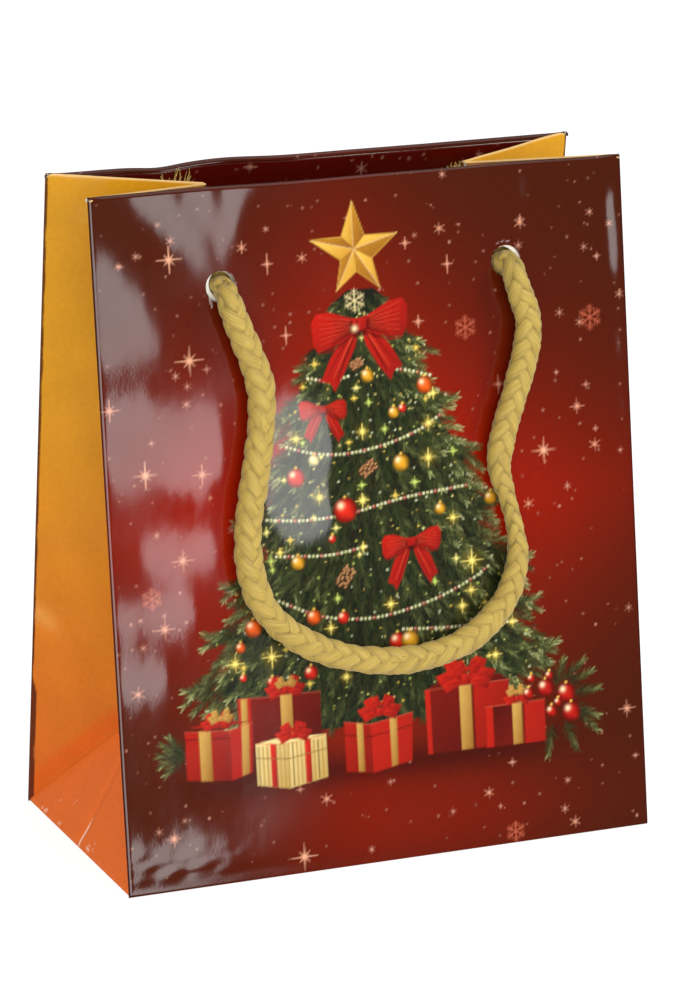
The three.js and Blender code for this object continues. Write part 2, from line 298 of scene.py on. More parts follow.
def braid(line, steps, tangent, out, half_across, half_out, turn, ribbon_width, ribbon_depth):
    """Points and faces of a flattened braid, with each ribbon's own length and side. A ribbon
    lies over two and under two, which gives columns of long pointed leaves."""
    side = unit(np.cross(tangent, out))
    ring = 10
    angles = np.arange(ring) / ring * math.tau
    points, quads, triangles, along, across = [], [], [], [], []
    count = 0
    for ribbon in range(8):
        hand = 1 if ribbon < 4 else -1
        phase = (ribbon % 4) * math.pi / 2 + (0 if hand > 0 else math.pi / 4)
        turned = hand * math.tau * steps / turn + phase + 0.3
        order = 1 if ribbon % 2 == 0 else -1
        beat = 2 * math.tau * steps / turn
        weave = order * (np.sin(beat) if hand > 0 else -np.cos(beat))
        weave = np.sign(weave) * np.abs(weave) ** 0.55
        lift = 0.30 * ribbon_depth * weave
        sag = ribbon_depth * 0.86
        wide = half_across - sag + lift
        deep = half_out - sag + lift
        offset = side * (wide * np.cos(turned))[:, None] + out * (deep * np.sin(turned))[:, None]
        middle = line + offset
        facing = unit(
            side * (np.cos(turned) / half_across)[:, None] + out * (np.sin(turned) / half_out)[:, None]
        )
        heading = unit(np.gradient(middle, axis=0))
        facing = unit(facing - (facing * heading).sum(1, keepdims=True) * heading)
        flank = np.cross(heading, facing)
        swell = (half_across / np.max(half_across))[:, None]
        broad = ribbon_width / 2 * swell * (1 + 0.10 * weave[:, None])
        section_side = np.sign(np.cos(angles)) * np.abs(np.cos(angles)) ** 0.8
        section_out = ribbon_depth / 2 * np.sin(angles)
        wrapped = (broad * section_side) ** 2 / (2 * (half_out - sag + 0.4 * ribbon_depth))[:, None]
        loop = (
            middle[:, None, :]
            + flank[:, None, :] * (broad * section_side)[..., None]
            + facing[:, None, :] * (section_out - 0.85 * wrapped)[..., None]
        )
        new_quads, new_triangles = tube_faces(len(line), ring, count)
        points.append(loop.reshape(-1, 3))
        quads.append(new_quads)
        triangles.append(new_triangles)
        along.append(np.repeat(steps * 1.4 + ribbon * 61.0, ring))
        across.append(np.tile(section_side * ribbon_width / 2, len(line)))
        count += loop.shape[0] * ring
    core_ring = 10
    core_angles = np.arange(core_ring) / core_ring * math.tau
    core = (
        line[:, None, :]
        + side[:, None, :] * ((half_across * 0.60)[:, None] * np.cos(core_angles))[..., None]
        + out[:, None, :] * ((half_out * 0.60)[:, None] * np.sin(core_angles))[..., None]
    )
    new_quads, new_triangles = tube_faces(len(line), core_ring, count)
    points.append(core.reshape(-1, 3))
    quads.append(new_quads)
    triangles.append(new_triangles)
    along.append(np.repeat(steps, core_ring))
    # an across value of -4 marks the core, which is painted dark as shade between the ribbons
    across.append(np.full(core.shape[0] * core_ring, -4.0))
    return [np.concatenate(part) for part in (points, quads, triangles, along, across)]


# %% Loose fibres, as thin tapered hairs
def hairs(roots, headings, lengths, thickness, curl, seed):
    """Points and quads of thin hairs that start at roots and wander off their headings."""
    rng = np.random.default_rng(seed)
    points, quads, triangles = [], [], []
    count = 0
    rows = 7
    for root, heading, length in zip(roots, headings, lengths):
        drift = rng.normal(0, curl, 3)
        shares = np.linspace(0, 1, rows)
        line = root + np.outer(shares * length, heading) + np.outer(shares ** 2 * length, drift)
        tangent = unit(np.gradient(line, axis=0))
        side = unit(np.cross(tangent, [0.31, 0.2, 0.93]))
        up = np.cross(side, tangent)
        radius = thickness * (1 - 0.7 * shares)[:, None]
        loop = [
            line + side * radius * math.cos(k * math.tau / 3) + up * radius * math.sin(k * math.tau / 3)
            for k in range(3)
        ]
        points.append(np.stack(loop, axis=1).reshape(-1, 3))
        new_quads, new_triangles = tube_faces(rows, 3, count)
        quads.append(new_quads)
        triangles.append(new_triangles)
        count += rows * 3
    return np.concatenate(points), np.concatenate(quads), np.concatenate(triangles)


def join_parts(parts):
    """Several (points, quads, triangles, along, across) sets as one."""
    points, quads, triangles, along, across = [], [], [], [], []
    count = 0
    for p, q, t, s, w in parts:
        points.append(p)
        quads.append(q + count)
        triangles.append(t + count)
        along.append(s)
        across.append(w)
        count += len(p)
    return [np.concatenate(part) for part in (points, quads, triangles, along, across)]


def store_fibres(piece, along, across):
    """What the rope's material reads: the place along and across a ribbon, and its painted shade."""
    # painted shade: each ribbon darkens towards its edges, where it dives under its neighbours; the core is
    # painted dark, as it lies in shade between the ribbons; loose fibres and tufts are painted brighter,
    # partly for their paler fray and partly against the shade inside the bag
    shade = 1 - 0.42 * np.clip(np.abs(across) / 1.75, 0, 1) ** 3
    shade = np.where(across < -3, 0.35, np.where(across > 6.5, 1.5, np.where(across > 5, 1.1, shade)))
    store_values(piece, "fibre_along", along)
    store_values(piece, "fibre_across", across)
    store_values(piece, "fibre_painted_shade", shade)


def stray_fibres(line, tangent, out, reach, count, seed):
    """A few fibres that have worked loose from the braid's outer side."""
    rng = np.random.default_rng(seed)
    side = unit(np.cross(tangent, out))
    where = rng.integers(20, len(line) - 20, count)
    angle = rng.uniform(0.1 * math.pi, 0.9 * math.pi, count)
    away = side[where] * np.cos(angle)[:, None] * reach[0] + out[where] * np.sin(angle)[:, None] * reach[1]
    heading = unit(tangent[where] * rng.choice([-1, 1], count)[:, None] + unit(away) * 0.10)
    points, quads, triangles = hairs(
        line[where] + away, heading, rng.uniform(3, 6.5, count), 0.045, 0.12, seed + 1
    )
    return points, quads, triangles, rng.uniform(0, 40, len(points)), np.full(len(points), 6.0)


# %% [markdown]
# ### Fixing the ropes to the bag
#
# A handle swings about the line of its holes. Here each rope is baked in place and tied to no
# body, and the model's own handle rope is hidden; two heights just below the holes are worked out
# but not used.

# %% The two handle ropes
def handle_rope(end, loop, narrow):
    line, steps = smooth_curve(rope_route(end, loop), 0.45)
    outward = on_wall(end, 0.0, 0.0, 1.0) - on_wall(end, 0.0, 0.0, 0.0)
    tangent, out = carry_along(line, outward, len(line) // 2)
    slim = 1 - narrow[0] * np.exp(-((steps - narrow[1]) / narrow[2]) ** 2)
    ends = np.minimum(steps, steps[-1] - steps)
    squeeze = 0.76 + 0.24 * smooth(ends, 3, 14)
    half_across = 3.15 * slim * squeeze * (1 + 0.03 * np.sin(steps * 0.31) + 0.02 * np.sin(steps * 0.83))
    half_out = 2.75 * np.sqrt(slim) * (0.95 + 0.05 * squeeze)
    whole = braid(line, steps, tangent, out, half_across, half_out, 17.6, 3.5, 1.1)
    fibres = stray_fibres(line, tangent, out, (2.9, 2.6), 18, 11 if end == "front" else 12)
    points, quads, triangles, along, across = join_parts([whole, fibres])
    rope = make_piece(f"{end}_rope", points, quads, triangles)
    store_fibres(rope, along, across)
    outside = np.flatnonzero(ends > 2.0)
    return rope, line[outside], steps[outside[-1]] - steps[outside[0]]


def fix_rope(end, rope):
    start = on_wall(end, 0.0, hole_height - 3, rope_stand_off) / 1000
    stop = on_wall(end, 0.0, hole_height - 7, rope_stand_off) / 1000
    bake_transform(rope)
    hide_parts(f"{end}_handle_rope")


front_rope, front_line, front_length = handle_rope("front", front_loop, (0.36, 153.0, 11.0))
rear_rope, rear_line, rear_length = handle_rope("rear", rear_loop, (0.12, 90.0, 20.0))
fix_rope("front", front_rope)
fix_rope("rear", rear_rope)
print("rope lengths in mm:", round(front_length, 1), round(rear_length, 1))

# %% [markdown]
# ### The knots
#
# Behind each hole the rope is tied in an overhand knot, and the cut end is left to fray. The
# front ends hang down inside and the rear ends stand up, where one shows above the rim. The knot
# is the same braid, drawn tighter and thinner, swept along a short tangled line. The fray is a
# tuft of thin hairs.

# %% Four knots with frayed ends
def tie_knot(end, across, tail_way, name, node, seed, tuft_length):
    rng = np.random.default_rng(seed)
    flip = tail_way
    tangle = [
        (0.0, 1.6, 0.2), (0.0, -0.2, 0.2), (0.1, -2.2, 0.1), (0.9, -3.4, 1.2 * flip),
        (2.9, -4.3, 1.9 * flip), (3.5, -5.2, -0.4 * flip), (1.7, -6.0, -2.9 * flip),
        (-1.7, -6.5, -2.6 * flip), (-3.4, -6.9, 0.2 * flip), (-1.6, -6.9, 2.6 * flip),
        (1.1, -5.6, 2.7 * flip), (1.4, -4.8, 4.6 * flip), (0.7, -5.4, 7.6 * flip),
        (0.2 + rng.uniform(-0.5, 0.5), -6.0, 11.0 * flip), (rng.uniform(-0.9, 0.9), -6.2, 14.6 * flip),
    ]
    local = np.array(tangle)
    # the rear knots are pulled tighter, to stay nearer their wall when it closes
    tightness = 1.0 if end == "front" else 0.80
    behind_face = local[:, 1] < 0
    local[behind_face, 1] *= tightness
    line, steps = smooth_curve(
        on_wall(end, across + local[:, 0], hole_height + local[:, 2], local[:, 1]), 0.4
    )
    upward = on_wall(end, 0.0, 1.0, 0.0) - on_wall(end, 0.0, 0.0, 0.0)
    tangent, out = carry_along(line, upward, 0)
    spread = 1 + 0.22 * smooth(steps, steps[-1] - 3, steps[-1])
    half_across = 2.35 * spread
    whole = braid(line, steps, tangent, out, half_across, 2.15 * spread, 14.0, 2.6, 1.0)
    count = 120
    angle = rng.uniform(0, math.tau, count)
    reach = 2.1 * np.sqrt(rng.uniform(0, 1, count))
    side = unit(np.cross(tangent, out))
    spoke = side[-1] * np.cos(angle)[:, None] + out[-1] * np.sin(angle)[:, None]
    roots = line[-3] + spoke * reach[:, None]
    headings = unit(tangent[-1] + spoke * (0.16 * reach)[:, None])
    points, quads, triangles = hairs(roots, headings, rng.uniform(1.6, tuft_length, count), 0.15, 0.16, seed)
    # an across value of 7 gives the tuft the brightest painted value, partly its paler fray and partly
    # against the shade inside the bag
    tuft = points, quads, triangles, rng.uniform(0, 40, len(points)), np.full(len(points), 7.0)
    points, quads, triangles, along, across_values = join_parts([whole, tuft])
    knot = make_piece(name, points, quads, triangles)
    store_fibres(knot, along, across_values)
    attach(knot, f"{end}_wall")
    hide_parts(node)
    return knot


knots = [
    tie_knot("front", -hole_spacing / 2, -1, "front_knot_on_left", "front_knot_left", 31, 4.5),
    tie_knot("front", hole_spacing / 2, -1, "front_knot_on_right", "front_knot_right", 32, 4.5),
    tie_knot("rear", hole_spacing / 2, 1, "rear_knot_on_left", "rear_knot_left", 33, 6.0),
    tie_knot("rear", -hole_spacing / 2, 1, "rear_knot_on_right", "rear_knot_right", 34, 2.2),
]
print("knots made:", len(knots))

# %% [markdown]
# ## The print
#
# The front carries a printed winter picture: a decorated fir with a star, presents under it, and
# glints and snowflakes on a red ground. It is ink on flat paper, so it is painted as colours on
# the points of the sheet before the sheet is bent into shape. A point lies every 0.3 mm, which is
# fine enough for needles and beads. Each shape paints only a small window of the sheet, with a
# soft edge, so thousands of strokes take a few seconds.


# %% A flat sheet to paint on
class Canvas:
    """The flat sheet: a colour at every crossing of its columns and rows, in millimetres."""

    def __init__(self, columns, rows):
        self.columns = columns
        self.rows = rows
        self.colours = np.zeros((len(rows), len(columns), 3))

    def window(self, left, right, low, high):
        columns = slice(*np.searchsorted(self.columns, (left, right)))
        rows = slice(*np.searchsorted(self.rows, (low, high)))
        across, up = np.meshgrid(self.columns[columns], self.rows[rows])
        return (rows, columns), across, up

    def lay(self, part, colour, cover):
        under = self.colours[part]
        self.colours[part] = under + (np.asarray(colour) - under) * np.clip(cover, 0, 1)[..., None]


edge = 0.16


def inked(distance):
    """Full ink inside a shape, none outside, and a soft edge."""
    return np.clip(0.5 - distance / (2 * edge), 0, 1)


# %% Dots, glows, strokes and filled shapes
def dot(sheet, x, y, radius, colour, strength=1.0, flat=1.0):
    reach = radius + 0.5
    part, across, up = sheet.window(x - reach, x + reach, y - reach, y + reach)
    if across.size:
        cover = inked(np.hypot(across - x, (up - y) / flat) - radius)
        sheet.lay(part, colour, strength * cover)


def glow(sheet, x, y, radius, colour, strength):
    reach = radius * 2.2
    part, across, up = sheet.window(x - reach, x + reach, y - reach, y + reach)
    if across.size:
        cover = np.exp(-((across - x) ** 2 + (up - y) ** 2) / radius ** 2)
        sheet.lay(part, colour, strength * cover)


def stroke(sheet, x0, y0, x1, y1, wide0, wide1, colour, strength=1.0):
    reach = max(wide0, wide1) + 0.5
    part, across, up = sheet.window(
        min(x0, x1) - reach, max(x0, x1) + reach, min(y0, y1) - reach, max(y0, y1) + reach
    )
    if across.size:
        dx, dy = x1 - x0, y1 - y0
        share = np.clip(((across - x0) * dx + (up - y0) * dy) / (dx * dx + dy * dy + 1e-9), 0, 1)
        distance = np.hypot(across - x0 - share * dx, up - y0 - share * dy)
        sheet.lay(part, colour, strength * inked(distance - (wide0 + share * (wide1 - wide0))))


def fill(sheet, corners, colour, second=None, strength=1.0):
    """A filled outline. With a second colour, the colour runs from the first, at the outline's
    top left, to the second, at its lower right."""
    corners = np.asarray(corners, dtype=float)
    left, low = corners.min(0)
    right, high = corners.max(0)
    part, across, up = sheet.window(left - 0.5, right + 0.5, low - 0.5, high + 0.5)
    if not across.size:
        return
    inside = np.zeros(across.shape, dtype=bool)
    distance = np.full(across.shape, 1e9)
    for (x0, y0), (x1, y1) in zip(corners, np.roll(corners, -1, axis=0)):
        dx, dy = x1 - x0, y1 - y0
        share = np.clip(((across - x0) * dx + (up - y0) * dy) / (dx * dx + dy * dy + 1e-12), 0, 1)
        distance = np.minimum(distance, np.hypot(across - x0 - share * dx, up - y0 - share * dy))
        crosses = (y0 > up) != (y1 > up)
        inside ^= crosses & (across < x0 + (up - y0) * dx / (dy if dy else 1e-12))
    cover = inked(np.where(inside, -distance, distance))
    if second is not None:
        share = ((across - left) / (right - left) + (high - up) / (high - low)) / 2
        colour = colour + (second - colour) * np.clip(share, 0, 1)[..., None]
    sheet.lay(part, colour, strength * cover)


# %% Glints, snowflakes and baubles
peach = rgb("A87460")
cream = rgb("D8C090")
gold = rgb("9A6A1C")
gold_light = rgb("C8A044")
gold_dark = rgb("54300A")


def glint(sheet, x, y, size, arms, colour, strength=0.95):
    for arm in range(arms):
        angle = math.pi / 2 + arm * math.tau / arms
        reach = size if arm % 2 == 0 or arms < 8 else size * 0.55
        if arms == 4 and arm % 2:
            reach = size * 0.62
        stroke(
            sheet, x, y, x + reach * math.cos(angle), y + reach * math.sin(angle),
            0.03 + 0.05 * size, 0.01, colour, strength,
        )
    glow(sheet, x, y, 0.16 + 0.14 * size, colour, 0.8 * strength)


def snowflake(sheet, x, y, size, colour):
    for arm in range(6):
        angle = arm * math.pi / 3 + math.pi / 6
        ex, ey = math.cos(angle), math.sin(angle)
        stroke(sheet, x, y, x + size * ex, y + size * ey, 0.13, 0.10, colour, 0.85)
        for share in (0.45, 0.72):
            for turn in (-1, 1):
                twig = angle + turn * math.pi / 3.4
                bx, by = x + size * share * ex, y + size * share * ey
                tip = size * (0.42 if share < 0.6 else 0.28)
                stroke(
                    sheet, bx, by, bx + tip * math.cos(twig), by + tip * math.sin(twig),
                    0.10, 0.06, colour, 0.8,
                )


def bauble(sheet, x, y, radius, colour):
    dark = colour * 0.28
    dot(sheet, x, y, radius, dark)
    for step in range(7):
        share = step / 6
        light = dark + (colour * 1.25 - dark) * share
        dot(sheet, x - 0.10 * radius * share, y + 0.14 * radius * share,
            radius * (0.98 - 0.55 * share), light, 0.7)
    glow(sheet, x - 0.35 * radius, y + 0.38 * radius, 0.22 * radius + 0.12, rgb("D8C49A"), 0.9)
    glow(sheet, x + 0.45 * radius, y - 0.45 * radius, 0.30 * radius, colour * 1.3, 0.5)
    dot(sheet, x + 0.05, y + radius + 0.15, 0.26, gold_light)


# %% A star with ten facets
def faceted_star(sheet, x, y, tips, notches):
    centre = (x, y)
    for index in range(5):
        tip = tips[index]
        before, after = notches[index - 1], notches[index]
        fill(sheet, [centre, before, tip], gold_light, gold, 1.0)
        fill(sheet, [centre, tip, after], gold, gold_dark * 1.8, 1.0)
        stroke(sheet, *centre, *tip, 0.05, 0.03, cream, 0.6)
        stroke(sheet, *centre, *after, 0.05, 0.03, gold_dark, 0.7)
    for index in range(5):
        stroke(sheet, *tips[index], *notches[index], 0.06, 0.05, gold_light, 0.6)


# %% Bows
red_light = rgb("9C140A")
red_mid = rgb("70100A")
red_deep = rgb("2C0403")


def bow(sheet, x, y, size, tail=1.0, tilt=0.10):
    """A tied ribbon: two tails with pointed ends, two puffed loops and a knot."""
    def at(points, way):
        return [(x + way * px * size, y + (py + way * tilt * px) * size) for px, py in points]

    def fold(way, start, end, wide, colour, strength):
        (x0, y0), (x1, y1) = at([start, end], way)
        stroke(sheet, x0, y0, x1, y1, wide * size, 0.3 * wide * size, colour, strength)

    for way in (-1, 1):
        tail_line = [(0.0, 0.0), (0.12, -0.42), (0.36, -0.86 * tail), (0.60, -1.20 * tail),
                     (0.68, -1.03 * tail), (0.87, -0.95 * tail), (0.64, -0.52), (0.30, -0.10)]
        fill(sheet, at(tail_line, way), red_light, red_mid)
        fold(way, (0.10, -0.10), (0.52, -0.98 * tail), 0.030, red_deep, 0.75)
        fold(way, (0.20, -0.12), (0.72, -0.86 * tail), 0.022, red_deep, 0.55)
        fold(way, (0.18, -0.22), (0.60, -0.92 * tail), 0.020, rgb("B83C24"), 0.6)
        loop = [(0.04, 0.12), (0.30, 0.22), (0.62, 0.36), (0.92, 0.38), (1.02, 0.22), (1.00, -0.20),
                (0.90, -0.38), (0.55, -0.32), (0.25, -0.19), (0.04, -0.12)]
        fill(sheet, at(loop, way), red_light, red_mid)
        for low in (-0.30, -0.20, -0.09, 0.02, 0.12, 0.25):
            fold(way, (0.10, 0.25 * low), (0.50 + 0.3 * abs(low), 0.9 * low), 0.028, red_deep, 0.7)
            fold(way, (0.22, 0.4 * low + 0.03), (0.86, low + 0.06), 0.016, rgb("B83C24"), 0.45)
        hollow = [(0.10, -0.13), (0.40, -0.26), (0.80, -0.36), (0.90, -0.42), (0.60, -0.42), (0.30, -0.30)]
        fill(sheet, at(hollow, way), red_deep, red_mid, 0.8)
    knot = [(-0.15, 0.15), (0.15, 0.15), (0.13, -0.12), (-0.13, -0.12)]
    fill(sheet, at(knot, 1), red_light, red_mid)
    fold(1, (-0.06, 0.10), (-0.05, -0.10), 0.02, red_deep, 0.6)
    below_knot = [(-0.14, -0.10), (0.14, -0.10), (0.10, -0.24), (-0.10, -0.24)]
    fill(sheet, at(below_knot, 1), red_deep, red_deep, 0.8)


# %% Fir branches
needle_dark = rgb("0A120A")
needle_mid = rgb("2A3217")
needle_light = rgb("767A48")


frost = rgb("A4A878")


def fir_branch(sheet, rng, x, y, angle, length, light, needle=2.4):
    steps = max(4, int(length / 0.34))
    for step in range(steps):
        share = (step + 0.5) / steps
        droop = -0.06 * length * share ** 2
        bx = x + math.cos(angle) * length * share
        by = y + math.sin(angle) * length * share + droop
        for side in (-1, 1):
            lean = angle + side * rng.uniform(0.45, 0.95) * (1.05 - 0.55 * share)
            reach = needle * rng.uniform(0.7, 1.1) * (1.05 - 0.45 * share)
            tone = np.clip(light * (0.15 + 1.0 * share) + rng.uniform(-0.25, 0.30), 0, 1)
            colour = needle_dark + (needle_mid - needle_dark) * min(1, tone * 2)
            if tone > 0.5:
                colour = needle_mid + (needle_light - needle_mid) * (tone - 0.5) * 2
            tip_x, tip_y = bx + math.cos(lean) * reach, by + math.sin(lean) * reach
            stroke(sheet, bx, by, tip_x, tip_y, 0.12, 0.04, colour, 0.9)
            if tone > 0.80:
                stroke(sheet, (bx + tip_x) / 2, (by + tip_y) / 2, tip_x, tip_y, 0.06, 0.03, frost, 0.7)
    stroke(sheet, x, y, x + math.cos(angle) * length, y + math.sin(angle) * length,
           0.14, 0.06, rgb("3A2A14"), 0.5)


# the tree's left and right edge at some heights above the base crease
tree_heights = np.array([30, 38, 42, 48, 52, 57, 62, 68, 74, 80, 86, 92, 97, 101, 106, 109, 113, 118, 121.5])
tree_left = np.array([
    -30, -42, -45, -38, -40, -34, -35.5, -29, -32, -27, -25, -21, -22.5, -19, -16, -16.5, -9, -10.5, -5,
])
tree_right = np.array([26, 38, 40, 34, 36, 33, 34.5, 26, 29, 24.5, 23.5, 18, 19, 15, 12, 15, 7, 6.5, 2])


def draw_tree(sheet, rng):
    left = list(zip(tree_left * 0.84, tree_heights))
    right = list(zip(tree_right * 0.84, tree_heights))
    fill(sheet, left + right[::-1], rgb("0A140C"), rgb("0C160C"), 0.97)
    for height in np.arange(33, 121, 2.1):
        low = np.interp(height, tree_heights, tree_left)
        high = np.interp(height, tree_heights, tree_right)
        middle = -2.3
        count = int((high - low) / 3.0) + 2
        for share in (np.arange(count) + rng.uniform(0.1, 0.9, count)) / count:
            x = low + (high - low) * share
            outward = (x - middle) / max(4.0, (high - low) / 2)
            length = rng.uniform(4.5, 7.5) * min(1.0, 0.45 + (high - low) / 50)
            angle = -math.pi / 2 + outward * 1.15 + rng.uniform(-0.35, 0.35)
            root_x = x - math.cos(angle) * length * 0.8
            root_y = height - math.sin(angle) * length * 0.35
            light = 0.20 + 0.38 * abs(outward) ** 1.5 + rng.uniform(-0.16, 0.24)
            fir_branch(sheet, rng, root_x, root_y, angle, length, light)
    for height, low, high in zip(tree_heights[2:-1:2], tree_left[2:-1:2], tree_right[2:-1:2]):
        for x, way in ((low, -1), (high, 1)):
            angle = (math.pi - 0.25 if way < 0 else 0.25) + rng.uniform(-0.15, 0.15)
            fir_branch(sheet, rng, x - way * 6.5, height - 0.8, angle, 6.6, 0.62, 2.7)
            fir_branch(sheet, rng, x - way * 7.5, height + 1.2, angle - 0.5 * way, 4.8, 0.5, 2.4)


# %% Bead garlands and small lights
def garland(sheet, points, spacing, colours):
    curve, _ = smooth_curve([(x, y, 0) for x, y in points], spacing)
    for index, (x, y, _) in enumerate(curve):
        colour = colours[index % len(colours)]
        dot(sheet, x, y, 0.30 if colour is not colours[-1] else 0.36, colour, 0.95)
        dot(sheet, x - 0.08, y + 0.1, 0.10, rgb("D8D8C0"), 0.6)


def decorate_tree(sheet, rng):
    beads = (rgb("B4B088"), rgb("9CA062"), rgb("B8B48C"), rgb("8A3426"))
    garland(sheet, [(-19.6, 90.2), (-14, 88.4), (-7, 87.6), (2, 88.6), (9.6, 90.8), (15, 93.6)], 0.92, beads)
    garland(sheet, [(-24.6, 75.4), (-16, 74.5), (-6, 75.0), (6, 77.0), (20.4, 78.2)], 0.88, beads)
    garland(sheet, [(-23, 67.6), (-17, 67.0), (-10.4, 66.7), (-3, 67.6)], 0.9, beads)
    lower_swag = [(-23, 58.2), (-13, 53.8), (-1.2, 52.4), (11.3, 54.6), (20.4, 58), (24.6, 60.4)]
    garland(sheet, lower_swag, 0.95, beads)
    garland(sheet, [(4.6, 49.2), (15.4, 48.4), (30.4, 48.0)], 0.9, beads)
    garland(sheet, [(4.2, 104.4), (8.6, 103.6), (13.4, 102.2)], 0.9, beads)
    garland(sheet, [(-14, 104.0), (-9, 102.9), (-5, 103.6)], 0.9, beads)
    lights = (rgb("CCC070"), rgb("A8B458"), rgb("C8A848"), rgb("C4C8A0"))
    for _ in range(430):
        y = 34 + 85 * rng.uniform(0, 1) ** 1.25
        low = np.interp(y, tree_heights, tree_left)
        high = np.interp(y, tree_heights, tree_right)
        x = rng.uniform(low + 1.5, high - 1.5)
        dot(sheet, x, y, rng.uniform(0.10, 0.22), lights[rng.integers(4)], rng.uniform(0.5, 0.95))
    for _ in range(46):
        y = 40 + 76 * rng.uniform(0, 1) ** 1.2
        low = np.interp(y, tree_heights, tree_left)
        high = np.interp(y, tree_heights, tree_right)
        x = rng.uniform(low + 3, high - 3)
        glow(sheet, x, y, 0.7, rgb("5E6A26"), 0.45)
        glint(sheet, x, y, rng.uniform(0.6, 1.2), 8, lights[rng.integers(3)])
    for x, y, size in (
        (-17.5, 91.7, 1.5), (-2.7, 91.9, 1.6), (12, 85, 1.9), (12.4, 92.2, 1.7), (-25.2, 46.7, 2.3),
        (-33.4, 46.2, 2.0), (21, 62, 2.6), (17, 71.7, 1.5), (18.3, 52.6, 1.5), (2.0, 54.8, 1.6),
        (25.4, 41.3, 1.5), (-11.7, 51.3, 1.4), (-12.8, 79.0, 1.6), (-3.3, 77.4, 1.5), (20.5, 55.8, 1.5),
        (-8.8, 40.6, 1.5), (13.8, 98.4, 1.2), (-22.2, 68.4, 1.0), (-3.6, 67.6, 1.1), (29.6, 48.0, 1.4),
    ):
        glow(sheet, x, y, size * 0.7, rgb("7E6A1A"), 0.5)
        glint(sheet, x, y, size, 8, rgb("D8C464"))
    warm = {"red": rgb("A81E10"), "gold": rgb("B07E1C"), "orange": rgb("B84A12"), "cream": rgb("B8A870")}
    for x, y, radius, colour in (
        (-0.7, 103.4, 1.4, "gold"), (12.0, 100.3, 1.8, "orange"), (-17.9, 83.6, 2.0, "red"),
        (-13.8, 86.9, 1.2, "cream"), (5.7, 84.5, 1.8, "gold"), (-7.3, 75.8, 2.6, "red"),
        (4.6, 95.2, 1.2, "gold"), (6.6, 95.9, 0.9, "red"), (25.8, 75.0, 1.4, "gold"),
        (14.2, 73.9, 1.2, "gold"), (-18.3, 65.8, 1.5, "gold"), (-15.4, 54.0, 1.6, "orange"),
        (-8.8, 53.2, 1.3, "red"), (-29.0, 53.2, 1.9, "orange"), (-16.7, 42.4, 1.5, "red"),
        (-25.4, 41.4, 1.2, "red"), (3.2, 46.8, 1.9, "red"), (6.0, 46.8, 2.0, "gold"),
        (-32.0, 49.4, 1.1, "orange"), (-10.5, 70.0, 0.8, "red"), (-31.8, 43.0, 0.8, "red"),
    ):
        bauble(sheet, x, y, radius, warm[colour])
    for x, y, size, way in ((-1.8, 84.0, 1.9, 0.6), (-7.9, 61.7, 2.2, 0.9), (-3.0, 106.0, 1.3, 0.4)):
        for step in range(26):
            share = (step + 0.5) / 26
            turn = step * 2.4
            px = x + (share - 0.5) * 2 * size * math.cos(way) - math.sin(way) * 0.55 * size * math.sin(turn)
            py = y + (share - 0.5) * 2 * size * math.sin(way) + math.cos(way) * 0.55 * size * math.sin(turn)
            dot(sheet, px, py, 0.34, rgb("5A2E14"), 0.9)
            stroke(sheet, px, py, px + 0.3, py + 0.25, 0.10, 0.04, rgb("D0A070"), 0.8)
    snowflake(sheet, -2.7, 119.2, 2.4, rgb("B8A878"))
    bow(sheet, -1.8, 114.0, 10.6, 1.0)
    glow(sheet, -3.0, 113.4, 0.6, cream, 0.9)
    bow(sheet, -11.2, 97.2, 5.2, 1.1, -0.05)
    bow(sheet, 7.4, 67.4, 6.6, 1.2, 0.08)


# %% Presents
def present(sheet, front, lid, faces, ribbons, shade):
    """A box drawn as filled faces, then its lid line, then its ribbons."""
    for corners, first, second in faces:
        fill(sheet, corners, first, second)
    for x0, y0, x1, y1 in lid:
        stroke(sheet, x0, y0, x1, y1, 0.16, 0.16, shade, 0.7)
    for corners, first, second in ribbons:
        fill(sheet, corners, first, second)
    for (x0, y0), (x1, y1) in zip(front, front[1:]):
        stroke(sheet, x0, y0, x1, y1, 0.09, 0.09, rgb("A84A34"), 0.55)


def flat_bow(sheet, x, y, size, colours):
    light, dark = colours
    for way in (-1, 1):
        for lift, reach in ((0.55, 0.75), (0.18, 1.05), (-0.10, 0.85)):
            fill(sheet, [(x, y - 0.05 * size), (x + way * 0.45 * reach * size, y + (lift + 0.22) * size),
                         (x + way * reach * size, y + (lift + 0.05) * size),
                         (x + way * 0.85 * reach * size, y + (lift - 0.25) * size)], light, dark)
            stroke(sheet, x, y, x + way * 0.75 * reach * size, y + (lift + 0.02) * size,
                   0.07, 0.03, dark, 0.8)
    fill(sheet, [(x - 0.16 * size, y + 0.22 * size), (x + 0.16 * size, y + 0.22 * size),
                 (x + 0.14 * size, y - 0.14 * size), (x - 0.14 * size, y - 0.14 * size)], light, dark)


